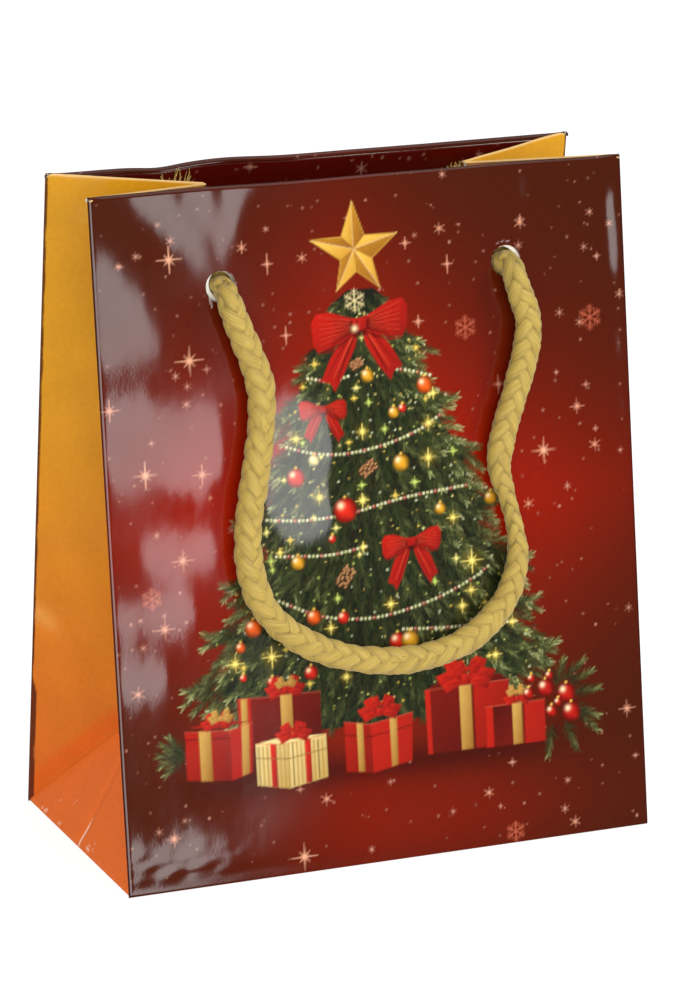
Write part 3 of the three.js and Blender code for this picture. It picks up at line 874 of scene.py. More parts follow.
def draw_presents(sheet, rng):
    box_red, box_deep, box_dark = rgb("8C160B"), rgb("601008"), rgb("3C0A05")
    ribbon, ribbon_dark = rgb("A88442"), rgb("744C18")
    red_pair, gold_pair = (rgb("B01E10"), rgb("4A0806")), (rgb("B08A44"), rgb("6A3E10"))
    # behind on the left
    present(sheet, [(-33.3, 38.6), (-14.8, 38.2)], [],
            [([(-33.3, 38.6), (-14.8, 38.2), (-15.0, 28), (-33.1, 28)], box_deep, box_dark),
             ([(-33.3, 38.6), (-30.4, 38.6), (-30.4, 28), (-33.1, 28)], box_red, box_red)],
            [([(-23.8, 38.5), (-21.2, 38.4), (-21.2, 28), (-23.8, 28)], ribbon, ribbon_dark),
             ([(-32.6, 38.6), (-31.2, 38.6), (-31.2, 28), (-32.6, 28)], ribbon, ribbon_dark)], box_dark)
    flat_bow(sheet, -22.6, 39.2, 4.4, red_pair)
    flat_bow(sheet, -22.4, 40.6, 2.4, gold_pair)
    # front left
    present(sheet, [(-45.3, 33.2), (-35.4, 32.4), (-30.3, 33.4)], [(-45.2, 31.6, -35.4, 30.8)],
            [([(-45.3, 33.2), (-35.4, 32.4), (-35.4, 21.8), (-45.3, 23.0)], box_red, box_deep),
             ([(-35.4, 32.4), (-30.3, 33.4), (-30.8, 23.0), (-35.4, 21.8)], box_red, box_red * 0.8)],
            [([(-42.2, 33.0), (-39.6, 32.8), (-39.6, 22.2), (-42.2, 22.5)], ribbon, ribbon_dark),
             ([(-32.7, 33.0), (-31.0, 33.3), (-31.4, 22.9), (-33.0, 22.5)], ribbon, ribbon_dark)], box_dark)
    fill(sheet, [(-44.3, 34.0), (-38.5, 33.2), (-31.2, 33.8), (-37.0, 34.7)], box_red, box_deep)
    flat_bow(sheet, -38.0, 33.9, 3.6, red_pair)
    flat_bow(sheet, -37.2, 35.0, 2.8, gold_pair)
    # right, large
    present(sheet, [(8.8, 35.5), (28.2, 35.7)], [],
            [([(8.8, 35.5), (28.2, 35.7), (27.9, 21.8), (9.0, 21.8)], box_deep, box_dark),
             ([(8.8, 35.5), (10.0, 35.5), (10.0, 21.8), (9.0, 21.8)], box_red * 1.3, box_red),
             ([(20.0, 35.6), (28.2, 35.7), (27.9, 21.8), (20.0, 21.8)], box_red, box_deep),
             ([(8.8, 35.5), (13.0, 37.4), (26.0, 37.2), (28.2, 35.7)], box_deep, box_dark)],
            [([(16.7, 35.6), (19.4, 35.6), (19.4, 21.8), (16.7, 21.8)], ribbon, ribbon_dark)], box_dark)
    flat_bow(sheet, 18.4, 36.6, 6.6, red_pair)
    flat_bow(sheet, 18.8, 38.8, 3.0, red_pair)
    # right, small, in front
    present(sheet, [(22.5, 30.2), (36.3, 30.4)], [],
            [([(22.5, 30.2), (36.3, 30.4), (36.2, 21.4), (22.5, 21.5)], box_dark, box_deep),
             ([(22.5, 30.2), (24.2, 30.2), (24.2, 21.5), (22.5, 21.5)], box_red * 1.2, box_red),
             ([(31.5, 30.3), (36.3, 30.4), (36.2, 21.4), (31.5, 21.4)], box_red, box_red * 0.8)],
            [([(28.7, 30.3), (30.9, 30.3), (30.9, 21.5), (28.7, 21.5)], ribbon, ribbon_dark)], box_dark)
    flat_bow(sheet, 30.0, 31.0, 3.2, red_pair)
    flat_bow(sheet, 29.8, 32.6, 2.3, gold_pair)
    # middle
    present(sheet, [(-9.8, 31.0), (-3.9, 29.8), (5.8, 31.3)],
            [(-9.8, 28.2, -3.9, 27.2), (-3.9, 27.2, 5.8, 28.6)],
            [([(-9.8, 31.0), (-3.9, 29.8), (-3.7, 19.4), (-9.8, 20.4)], box_red, box_deep),
             ([(-3.9, 29.8), (5.8, 31.3), (5.2, 21.0), (-3.7, 19.4)], box_red * 1.15, box_red * 0.8)],
            [([(-7.0, 30.5), (-5.6, 30.2), (-5.6, 19.9), (-7.0, 20.1)], ribbon, ribbon_dark),
             ([(0.5, 30.5), (2.1, 30.8), (2.0, 20.5), (0.6, 20.2)], ribbon, ribbon_dark)], box_dark)
    flat_bow(sheet, -1.6, 32.0, 4.8, red_pair)
    flat_bow(sheet, -1.2, 33.8, 2.6, red_pair)
    # striped, in front
    pale, pale_dark = rgb("BCA870"), rgb("94783C")
    present(sheet, [(-29.8, 28.8), (-22.7, 28.0), (-14.0, 29.0)], [],
            [([(-29.8, 28.8), (-22.7, 28.0), (-22.7, 18.5), (-29.8, 20.0)], pale, pale_dark),
             ([(-22.7, 28.0), (-14.0, 29.0), (-14.0, 19.9), (-22.7, 18.5)], pale, pale_dark),
             ([(-29.8, 28.8), (-24.0, 29.6), (-14.0, 29.0), (-22.7, 28.0)], pale, pale)], [], box_dark)
    for x in np.arange(-29.2, -14.2, 0.95):
        low = 18.6 + abs(x + 22.7) * 0.17
        tone = rgb("54380F") if int((x + 40) * 2) % 3 == 0 else rgb("84601E")
        stroke(sheet, x, low + 0.3, x, 28.0, 0.17, 0.17, tone, 0.8)
    fill(sheet, [(-26.6, 28.4), (-25.2, 28.2), (-25.2, 18.9), (-26.6, 19.3)], red_pair[0], box_deep)
    fill(sheet, [(-18.9, 28.4), (-17.5, 28.6), (-17.5, 19.4), (-18.9, 19.1)], red_pair[0], box_deep)
    stroke(sheet, -29.8, 25.8, -22.7, 24.8, 0.13, 0.13, rgb("6A4A20"), 0.8)
    stroke(sheet, -22.7, 24.8, -14.0, 26.0, 0.13, 0.13, rgb("6A4A20"), 0.8)
    flat_bow(sheet, -21.2, 29.4, 4.0, red_pair)
    flat_bow(sheet, -21.4, 30.8, 2.4, red_pair)
    # sprigs and berries at the sides
    for angle in (2.6, 3.0, 3.4, 3.8, 2.2):
        fir_branch(sheet, rng, -45.6, 28.4, angle, 5.6, 0.55)
    for x, y, angle in ((39, 33, 1.2), (41, 34, 0.7), (43, 31, 0.1), (43, 28, -0.4), (41, 25, -1.2),
                        (38, 24.5, -1.8), (38, 35, 1.9), (42, 33, 0.4), (44, 27, -0.8)):
        fir_branch(sheet, rng, x, y, angle, 6.2, 0.55)
    for x, y, radius in ((36.6, 32.8, 1.9), (41.4, 31.2, 2.1), (42.4, 27.0, 2.1), (37.8, 27.6, 1.3),
                         (32.6, 32.0, 1.3), (37.6, 35.4, 0.9), (33.4, 35.2, 0.9), (39.4, 29.4, 0.9)):
        bauble(sheet, x, y, radius, rgb("8C120A"))


# %% The red ground with its glints
def draw_ground(sheet):
    across, up = np.meshgrid(sheet.columns, sheet.rows)
    from_middle = np.sqrt((across + 5) ** 2 + 16) - 4
    from_waist = np.sqrt((up - 75) ** 2 + 16) - 4
    red = 0.036 + 0.195 * np.exp(-(from_middle / 56 + from_waist / 46) ** 2)
    red = red + 0.058 * np.exp(-((up - 8) / 11) ** 2 - ((across - 8) / 36) ** 2)
    red = red * (1 + 0.03 * soft_noise(across, up, 40, 3))
    colour = np.stack([red, 0.0048 + 0.002 * red, 0.0006 + 0 * red], axis=-1)
    shadow = np.exp(-((up - 21.0) / 3.4) ** 2) * np.exp(-((across + 2) / 42) ** 6)
    sheet.colours[:] = colour + (rgb("2A0603") - colour) * (0.72 * shadow)[..., None]


def draw_glints(sheet, rng):
    for _ in range(430):
        x, y = rng.uniform(-59, 59), rng.uniform(2, 147)
        pale = peach * rng.uniform(0.5, 1.0)
        dot(sheet, x, y, rng.uniform(0.07, 0.30), pale, rng.uniform(0.4, 0.9))
    for _ in range(80):
        x, y = rng.uniform(-58, 58), rng.uniform(3, 144)
        glint(sheet, x, y, rng.uniform(0.6, 1.1), (6, 8)[rng.integers(2)], peach, rng.uniform(0.45, 0.9))
    for x, y, size, arms in (
        (-42.9, 131, 3.2, 8), (-39.7, 110.0, 3.6, 8), (-50.7, 87.4, 3.2, 8), (-38.4, 86.4, 2.4, 8),
        (38.6, 83.8, 3.4, 8), (-18.3, 113.3, 2.2, 4), (-21.6, 128.4, 2.4, 4), (18.6, 125.0, 2.2, 4),
        (28.9, 98.8, 2.4, 4), (46.9, 92.4, 1.9, 8), (35.6, 132.3, 1.6, 6), (-48.4, 55.2, 2.6, 8),
        (-43.6, 69.0, 2.8, 8), (-49.0, 11.2, 2.4, 8), (-20.3, 3.6, 3.4, 8), (-57.6, 101.4, 2.6, 8),
        (55.6, 26.0, 2.2, 8), (-14.6, 15.2, 1.6, 6), (22.4, 11.8, 1.4, 6), (42.2, 2.9, 1.5, 6),
        (50.6, 83.9, 1.6, 6), (-55.0, 42.4, 1.8, 6), (34.6, 72.8, 1.4, 6), (11.4, 113.6, 1.5, 8),
        (9.3, 130.2, 1.4, 8), (-13.9, 129.0, 1.3, 6), (17.2, 132.6, 1.5, 6), (-27.0, 132.2, 1.4, 6),
    ):
        glint(sheet, x, y, 0.88 * size, arms, rgb("B47A60") if size < 3 else rgb("C08A6C"), 0.95)
    for x, y, size in ((22.0, 111.4, 2.5), (50.8, 111.0, 2.7), (-50.8, 61.8, 2.3), (28.2, 2.6, 2.2)):
        snowflake(sheet, x, y, size, rgb("984A34"))


ink_strength = 1.47


def paint_print(columns, rows, seed):
    rng = np.random.default_rng(seed)
    sheet = Canvas(columns, rows)
    draw_ground(sheet)
    draw_glints(sheet, rng)
    draw_tree(sheet, rng)
    decorate_tree(sheet, rng)
    faceted_star(
        sheet, -2.3, 129.9,
        [(-2.3, 139.9), (7.5, 132.5), (3.2, 121.5), (-6.5, 121.5), (-11.9, 132.4)],
        [(0.2, 132.6), (1.7, 127.7), (-1.8, 125.2), (-5.3, 127.7), (-5.0, 132.6)],
    )
    draw_presents(sheet, rng)
    sheet.colours[:] = np.clip(sheet.colours * ink_strength, 0, 1)
    return sheet

# %% [markdown]
# ## The two walls
#
# A wall is one sheet, so it has no sharp plate edges: it rolls round the folds at its sides, at
# its foot and over its rim. Laminated paper is never quite flat either, and its gloss shows every
# shallow wave, so the waves are real shape here. The printed side needs a point every 0.3 mm for
# the picture, and the raw inner side doesn't, so the inner side is four times coarser and the two
# are stitched together along the edges and round the punched holes.


# %% Stitch two loops of points
def stitch(fine, rough, picks):
    """Triangles between a finely cut edge and a rough one that meets it at picks."""
    made = []
    for k in range(len(rough) - 1):
        run = fine[picks[k]:picks[k + 1] + 1]
        made += [(rough[k], a, b) for a, b in zip(run, run[1:])]
        made.append((rough[k], run[-1], rough[k + 1]))
    return made


def bridge(first, first_angles, second, second_angles):
    """Triangles between two closed loops, in step by their angles."""
    made = []
    i = j = 0
    while i < len(first) or j < len(second):
        next_i = first_angles[i] if i < len(first) else 99
        next_j = second_angles[j] if j < len(second) else 99
        a, b = first[i % len(first)], second[j % len(second)]
        if next_i <= next_j:
            made.append((first[i - 1], a, second[j - 1 if j else -1]))
            i += 1
        else:
            made.append((first[i - 1 if i else -1], b, second[j - 1]))
            j += 1
    return made


# %% A punched sheet with two sides
def punch(across, up, centres, radius):
    """Which quads of a grid are cut out, with the hole's rim moved onto a clean circle."""
    rows, columns = across.shape
    keep = np.ones((rows - 1, columns - 1), dtype=bool)
    rims = []
    for x, y in centres:
        gone_point = np.hypot(across - x, up - y) < radius
        gone = gone_point[:-1, :-1] & gone_point[:-1, 1:] & gone_point[1:, 1:] & gone_point[1:, :-1]
        touching = np.zeros(across.shape, dtype=bool)
        kept_touching = np.zeros(across.shape, dtype=bool)
        for dr in (0, 1):
            for dc in (0, 1):
                part = (slice(dr, dr + rows - 1), slice(dc, dc + columns - 1))
                touching[part] |= gone
                kept_touching[part] |= ~gone
        rim = touching & kept_touching
        moved = gone_point & kept_touching
        distance = np.maximum(np.hypot(across - x, up - y), 1e-6)
        across[moved] = (x + (across - x) / distance * radius)[moved]
        up[moved] = (y + (up - y) / distance * radius)[moved]
        keep &= ~gone
        ids = np.flatnonzero(rim.ravel())
        angles = np.arctan2(up.ravel()[ids] - y, across.ravel()[ids] - x)
        order = np.argsort(angles)
        rims.append((ids[order], angles[order]))
    return keep, rims


def punched_sheet(name, shape, columns, rows, centres, radius, thickness, skip):
    """A sheet whose outer side is bent by shape, with raw paper as its second material."""
    def picks(count):
        chosen = list(range(0, count - 1, skip))
        return np.array([*chosen, count - 1])

    fine_across, fine_up = np.meshgrid(columns, rows)
    keep, rims = punch(fine_across, fine_up, centres, radius)
    outer = shape(fine_across, fine_up)
    pick_rows, pick_columns = picks(len(rows)), picks(len(columns))
    rough_across, rough_up = np.meshgrid(columns[pick_columns], rows[pick_rows])
    rough_keep, rough_rims = punch(rough_across, rough_up, centres, radius)
    tiny = 0.02
    over = shape(rough_across + tiny, rough_up) - shape(rough_across - tiny, rough_up)
    upward = shape(rough_across, rough_up + tiny) - shape(rough_across, rough_up - tiny)
    inner = shape(rough_across, rough_up) - unit(np.cross(over, upward)) * thickness
    first = outer.shape[0] * outer.shape[1]
    fine_ids = np.arange(first).reshape(outer.shape[:2])
    rough_ids = first + np.arange(inner.shape[0] * inner.shape[1]).reshape(inner.shape[:2])
    quads = grid_quads(*outer.shape[:2])[keep.ravel()]
    rough_quads = grid_quads(*inner.shape[:2], first=first, flip=True)[rough_keep.ravel()]
    triangles = stitch(fine_ids[0], rough_ids[0], pick_columns)
    triangles += stitch(fine_ids[-1], rough_ids[-1], pick_columns)
    triangles += stitch(fine_ids[:, 0], rough_ids[:, 0], pick_rows)
    triangles += stitch(fine_ids[:, -1], rough_ids[:, -1], pick_rows)
    edge_faces = len(triangles)
    for (ids, angles), (other, other_angles) in zip(rims, rough_rims):
        triangles += bridge(ids, angles, first + other, other_angles)
    points = np.concatenate([outer.reshape(-1, 3), inner.reshape(-1, 3)])
    piece = make_piece(name, points, np.concatenate([quads, rough_quads]), triangles)
    second = np.zeros(len(piece.data.polygons), dtype=np.int32)
    second[len(quads):] = 1
    second[len(quads) + len(rough_quads):][:edge_faces] = 0
    piece.data.polygons.foreach_set("material_index", second)
    return piece, (rough_across, rough_up), first, len(points) - first


# %% The folds round a wall
fold_roll = 0.45
rim_roll = 0.9
foot = 0.1


def rim_rise(end, across):
    """How far handling has pushed the rim up or down, in millimetres."""
    if end == "rear":
        return 0.55 * np.exp(-((across - 20) / 9) ** 2) - 0.55 * np.exp(-((across - 35) / 5) ** 2)
    return 0.12 * soft_noise(across, across * 0, 46, 61)


def wall_shape(end, waves):
    """A function that bends flat sheet places onto a wall, with its rolled folds and waves."""
    def shape(flat_x, flat_v):
        round_side = np.clip((np.abs(flat_x) - (half_width - fold_roll)) / fold_roll, 0, math.pi / 2)
        straight = np.minimum(np.abs(flat_x), half_width - fold_roll)
        across = np.sign(flat_x) * (straight + fold_roll * np.sin(round_side))
        deep = fold_roll * (1 - np.cos(round_side))
        round_foot = np.clip((foot + fold_roll - flat_v) / fold_roll, 0, math.pi / 2)
        up = np.maximum(flat_v, foot + fold_roll) - fold_roll * np.sin(round_foot)
        deep = deep + fold_roll * (1 - np.cos(round_foot))
        round_rim = np.clip((flat_v - (wall_height - rim_roll)) / rim_roll, 0, math.pi)
        up = np.minimum(up, wall_height - rim_roll) + rim_roll * np.sin(round_rim)
        up = up + rim_rise(end, flat_x) * smooth(flat_v, 130, 143) * smooth(half_width - np.abs(flat_x), 0, 6)
        thick = rim_roll - 0.7 * smooth(np.abs(flat_x), half_width - 3.5, half_width - 0.5)
        deep = deep + thick * (1 - np.cos(round_rim))
        return on_wall(end, across, up, waves(flat_x, flat_v) - deep)
    return shape


# %% [markdown]
# ### The front's shallow waves
#
# A wall is nearly flat, and a slope of a hundredth decides whether its film mirrors the big light
# or the dark room. So the slope is set first: bright patches are outlined in millimetres and
# filled like ink, each place in them gets a little more slope than mirroring needs, each place
# outside a little less, and the heights are summed up from the slopes. The patches suit this
# camera and this light only. From another side the same waves reflect differently.

# %% Soften a grid
relief_step_across = 0.25
relief_step_up = 0.5
relief = Canvas(np.linspace(-60, 60, 481), np.linspace(0, 146, 293))


def blurred(field, wide, high):
    """Soften a grid by averaging it with its neighbours."""
    for axis, reach in ((1, wide), (0, high)):
        for _ in range(2):
            padded = np.pad(field, [(reach, reach) if a == axis else (0, 0) for a in (0, 1)], "edge")
            total = np.cumsum(padded, axis=axis)
            total = np.concatenate([np.zeros_like(np.take(total, [0], axis)), total], axis=axis)
            count = field.shape[axis]
            high_end = np.take(total, np.arange(count) + 2 * reach + 1, axis)
            field = (high_end - np.take(total, np.arange(count), axis)) / (2 * reach + 1)
    return field


print("relief grid:", relief.colours.shape[1], "across by", relief.colours.shape[0], "up")

# %% Bright patches, and the heights that make them
bright_patches = [
    [(-52, 146), (-42, 146), (-35.5, 134), (-33.0, 126.5), (-35.5, 127), (-41, 133), (-47, 139)],
    [(-40, 146), (-33, 146), (-31.8, 136), (-34.0, 134)],
    [(-30.5, 146), (-21.5, 146), (-27, 139), (-30.0, 129), (-32.5, 127.5), (-32.0, 135)],
    [(-59.5, 133), (-57, 134), (-51, 126), (-46, 117), (-45.5, 111.5), (-52, 110), (-59.5, 109)],
    [(-59, 106), (-52, 104), (-43, 100.5), (-36, 103), (-33.4, 98), (-33.4, 84), (-40, 81), (-48, 84),
     (-54, 82.5), (-59, 86)],
    [(-54, 74), (-46, 75.5), (-37, 74), (-35, 70), (-36, 66), (-44, 64.5), (-51, 67)],
    [(-59, 61), (-50, 62.5), (-41, 61), (-40, 56), (-46, 53), (-54, 54.5), (-59, 52)],
    [(-59, 50), (-53, 50), (-47.5, 47), (-49, 41), (-56, 39.5), (-59, 42)],
    [(-59, 12), (-52, 9.5), (-44, 12), (-37, 8), (-27, 6.2), (-34, 4.2), (-45, 3.4), (-52, 4.6), (-59, 3.5)],
    [(-25, 99), (-18, 102), (-10.5, 98), (-8.5, 90), (-11, 80), (-9, 72), (-14, 68.5), (-21, 70), (-25, 78)],
    [(35.0, 143.5), (38.8, 142.5), (38.4, 137), (36.4, 133.5), (35.4, 138)],
    [(55.2, 140), (58.6, 141), (58.6, 114.5), (56.6, 114), (55.6, 124)],
    [(55.8, 109.5), (58.6, 109.5), (58.6, 99), (56.8, 100)],
    [(56.2, 96), (58.6, 97), (58.6, 85), (57.2, 86)],
    [(-3.6, 3.6), (-1.6, 3.6), (-1.8, 2.4), (-3.2, 2.4)],
]
for corners in bright_patches:
    fill(relief, corners, np.ones(3))
grid_across, grid_up = np.meshgrid(relief.columns, relief.rows)
ragged = 0.20 * soft_noise(grid_across, grid_up, 6.5, 5) + 0.14 * soft_noise(grid_across, grid_up, 2.6, 6)
bright = smooth(blurred(relief.colours[..., 0], 4, 3) + ragged * 0.8, 0.36, 0.64)
# the slope at which a place just mirrors the big light's right-hand edge
needed = 0.0326 + 0.00070 * grid_across + 0.0000108 * (grid_up - 75)
lit_margin = 0.012
dark_margin = 0.014
shining = bright * (needed + lit_margin)
spare = (1 - bright) * (1 - 0.9 * smooth(np.abs(grid_across), half_width - 1.2, half_width - 0.2))
dull = -shining.sum(1, keepdims=True) / spare.sum(1, keepdims=True) * spare
dull = dull + (1 - bright) * np.minimum(0, needed - dark_margin - dull)
dull = dull - dull.mean(1, keepdims=True) - shining.mean(1, keepdims=True)
front_relief = np.cumsum(shining + dull, axis=1) * relief_step_across
front_relief = blurred(front_relief, 2, 6)
print("front waves from", front_relief.min().round(2), "to", front_relief.max().round(2), "mm")


# %% The waves of each wall at any place
def front_waves(across, up):
    """The front's height outwards at any place, read from the grid."""
    column = np.clip((across + 60) / relief_step_across, 0, 479.99)
    row = np.clip(up / relief_step_up, 0, 291.99)
    c, r = column.astype(int), row.astype(int)
    share_c, share_r = column - c, row - r
    low = front_relief[r, c] * (1 - share_c) + front_relief[r, c + 1] * share_c
    high = front_relief[r + 1, c] * (1 - share_c) + front_relief[r + 1, c + 1] * share_c
    waves = low * (1 - share_r) + high * share_r
    crumple = (1 - smooth(up, 6, 13)) * (1 - smooth(across, -46, -28))
    waves = waves + 0.016 * crumple * soft_noise(across * 0.6, up * 1.7, 5, 5)
    waves = waves + 0.006 * soft_noise(across, up, 21, 7) + 0.0008 * soft_noise(across, up, 3.4, 9)
    return waves * smooth(half_width - np.abs(across), 0.0, 0.9) * smooth(up, 0.3, 2.5)


def rear_waves(across, up):
    """The rear's height outwards: one wide bulge and shallow waves."""
    waves = 0.30 * np.exp(-((across + 8) / 30) ** 2) * np.sin(up / 145 * math.pi)
    waves = waves + 0.10 * soft_noise(across, up, 38, 21) + 0.025 * soft_noise(across, up, 12, 22)
    return waves * smooth(half_width - np.abs(across), 0.5, 5) * smooth(up, 0.5, 4)


# %% Bend and punch the two printed walls
step = 0.3
side_turn = np.linspace(0, math.pi / 2, 5)[1:] * fold_roll
flat_columns = np.arange(0, half_width - fold_roll - 0.05, step)
flat_columns = np.concatenate([flat_columns, [half_width - fold_roll], half_width - fold_roll + side_turn])
sheet_columns = np.concatenate([-flat_columns[:0:-1], flat_columns])
foot_rows = foot + fold_roll - np.linspace(math.pi / 2, 0, 5)[:-1] * fold_roll
rim_rows = wall_height - rim_roll + np.linspace(0, math.pi, 13) * rim_roll
sheet_rows = np.concatenate([
    foot_rows, np.arange(foot + fold_roll, wall_height - rim_roll - 0.05, step), rim_rows,
])
hole_centres = [(-hole_spacing / 2, hole_height), (hole_spacing / 2, hole_height)]
raw_paper_colour = rgb("E9E2D4")

picture = paint_print(sheet_columns, sheet_rows, 5)
bleed = rgb("2A0905")
side_cover = smooth(np.abs(sheet_columns), half_width - 0.9, half_width - 0.2)[None, :]
picture.lay((slice(None), slice(None)), bleed, 0.45 * np.broadcast_to(side_cover, picture.colours.shape[:2]))
print("painted points:", picture.colours.shape[0] * picture.colours.shape[1])


def torn_white(sheet):
    """White card fibres where punching tore the laminate beside the holes."""
    white = rgb("D8D2C8")
    stroke(sheet, -34.5, 122.6, -34.2, 120.5, 0.17, 0.04, white, 0.95)
    for x, y, long in ((30.2, 128.4, 0.4), (31.3, 128.7, 0.5), (32.4, 128.6, 0.6)):
        stroke(sheet, x, y, x + long, y + 0.12, 0.09, 0.03, rgb("C8A8A8"), 0.8)


def make_wall(end, waves, with_tears):
    sheet = Canvas(sheet_columns, sheet_rows)
    sheet.colours[:] = picture.colours
    if with_tears:
        torn_white(sheet)
    wall, (back_across, back_up), fine, rough = punched_sheet(
        f"{end}_wall_sheet", wall_shape(end, waves), sheet_columns, sheet_rows,
        hole_centres, hole_radius, 0.25, 4,
    )
    # the ink runs over the cut edges, so only the back of the sheet is raw
    border = (np.abs(back_across) > half_width - 1.2) | (back_up > wall_height - 1.2) | (back_up < 1)
    raw = np.where(border.reshape(-1, 1), bleed * 1.6, raw_paper_colour)
    store_colours(wall, "print_colour", np.concatenate([sheet.colours.reshape(-1, 3), raw]))
    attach(wall, f"{end}_wall")
    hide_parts(f"{end}_panel")
    return wall


front_sheet = make_wall("front", front_waves, True)
rear_sheet = make_wall("rear", rear_waves, False)
print("faces in a wall:", len(front_sheet.data.polygons))

# %% [markdown]
# ### Rim cards and hems
#
# The rim is turned down inside as a hem, with a strip of white card held in the fold. Little of
# the card shows, but its holes were punched a touch off the sheet's, so a white crescent shows in
# each hole. The hem carries the same print, so glints show on it inside the mouth.


# %% Rim cards and hems
def flat_layer(end, depth):
    """A function that lays a flat sheet at this depth behind a wall's face."""
    def shape(flat_x, flat_v):
        risen = rim_rise(end, flat_x) * smooth(flat_v, 130, 143) * smooth(half_width - np.abs(flat_x), 0, 6)
        return on_wall(end, flat_x, flat_v + risen, -depth)
    return shape


def spaced(low, high, pitch):
    return np.linspace(low, high, int(round((high - low) / pitch)) + 1)


def make_rim_card(end):
    centres = [(-hole_spacing / 2 + 0.60, hole_height + 0.55), (hole_spacing / 2 - 0.80, hole_height + 0.05)]
    card, _, _, _ = punched_sheet(
        f"{end}_rim_strip", flat_layer(end, 0.62), spaced(-55.4, 55.4, 0.5),
        spaced(wall_height - 28, wall_height - 0.7, 0.5), centres, 3.0, 0.56, 1,
    )
    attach(card, f"{end}_wall")
    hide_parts(f"{end}_rim_card")
    return card


def make_hem(end, seed):
    rng = np.random.default_rng(seed)
    columns = spaced(-54.6, 54.6, 0.4)
    rows = spaced(wall_height - hem_depth, wall_height - rim_roll, 0.4)
    sheet = Canvas(columns, rows)
    sheet.colours[:] = rgb("4E0A02")
    for _ in range(150):
        dot(sheet, rng.uniform(-54, 54), rng.uniform(111, 144), rng.uniform(0.1, 0.3), peach, 0.7)
    for _ in range(46):
        glint(sheet, rng.uniform(-54, 54), rng.uniform(112, 143.5), rng.uniform(0.8, 1.9),
              (4, 6, 8)[rng.integers(3)], peach, 0.9)
    # the visible side of a hem faces into the bag, so its outer layer is the raw one
    hem, _, fine, rough = punched_sheet(
        f"{end}_hem_sheet", flat_layer(end, 1.60), columns, rows, hole_centres, 3.15, 0.24, 1,
    )
    inside = sheet.colours.reshape(-1, 3)
    raw = np.broadcast_to(raw_paper_colour, (fine, 3))
    store_colours(hem, "print_colour", np.concatenate([raw, inside]))
    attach(hem, f"{end}_wall")
    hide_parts(f"{end}_hem")
    return hem


rim_cards = [make_rim_card("front"), make_rim_card("rear")]
hems = [make_hem("front", 41), make_hem("rear", 42)]
print("hem faces:", len(hems[0].data.polygons))

# %% [markdown]
# ## The gussets
#
# A gusset is creased down its middle, and pinching the mouth folds it inwards. Above a triangle
# at its foot, each half is a slightly twisted sheet between the wall's fold and the middle crease.
# The half is a grid whose rows start along the diagonal crease and fan out to level at the rim.
# Each half is baked in place in the frame and moves with no body.


# %% The fold surface of the left gusset's front half
def wall_edge(up):
    up = np.asarray(up, dtype=float)
    y = -half_depth + up * sin_lean + fold_roll * cos_lean
    z = up * cos_lean - fold_roll * sin_lean
    return np.stack([np.full(up.shape, -half_width), y, z], axis=-1)


def middle_crease(up):
    up = np.asarray(up, dtype=float)
    slant = (half_depth - up * sin_lean) / cos_lean
    x = -half_width + np.sqrt(half_depth ** 2 - slant ** 2)
    return np.stack([x, np.zeros(up.shape), up * cos_lean - slant * sin_lean], axis=-1)


def gusset_surface(share, up):
    share, up = np.broadcast_arrays(np.asarray(share, dtype=float), np.asarray(up, dtype=float))
    low = wall_edge(up) + share[..., None] * (middle_crease(half_depth) - wall_edge(half_depth))
    high_up = np.maximum(up, half_depth)
    high = wall_edge(up) + share[..., None] * (middle_crease(high_up) - wall_edge(high_up))
    return np.where((up >= half_depth)[..., None], high, low)


def gusset_inward(share, up):
    tiny = 0.01
    across = gusset_surface(share + tiny, up) - gusset_surface(share - tiny, up)
    upward = gusset_surface(share, up + tiny) - gusset_surface(share, up - tiny)
    return unit(np.cross(across, upward)), unit(upward)


# %% Close a bent sheet with its own thickness
def closed_sheet(name, outer, inward, thickness, sharp=None):
    rows, columns = outer.shape[:2]
    inner = outer + inward * thickness
    first = rows * columns
    a = np.arange(first).reshape(rows, columns)
    b = a + first
    quads = [grid_quads(rows, columns), grid_quads(rows, columns, first=first, flip=True)]
    for one, two in ((a[0], b[0]), (b[-1], a[-1]), (b[:, 0], a[:, 0]), (a[:, -1], b[:, -1])):
        quads.append(np.stack([one[:-1], two[:-1], two[1:], one[1:]], axis=-1))
    points = np.concatenate([outer.reshape(-1, 3), inner.reshape(-1, 3)])
    piece = make_piece(name, points, np.concatenate(quads), None, sharp)
    second = np.zeros(len(piece.data.polygons), dtype=np.int32)
    second[(rows - 1) * (columns - 1):][:(rows - 1) * (columns - 1)] = 1
    piece.data.polygons.foreach_set("material_index", second)
    return piece


def both_sides(colours):
    """The printed side's colours, then the raw side's, with ink round the cut edges."""
    raw = np.empty_like(colours)
    raw[:] = raw_paper_colour
    raw[0], raw[-1], raw[:, 0], raw[:, -1] = colours[0], colours[-1], colours[:, 0], colours[:, -1]
    return np.concatenate([colours.reshape(-1, 3), raw.reshape(-1, 3)])


# %% The orange of the gussets, painted like the print
# the last of these is the deeper orange of the painted shade at the diagonal creases
orange_top, orange_low, orange_crease_shade = rgb("D3971C"), rgb("CF6616"), rgb("D85802")


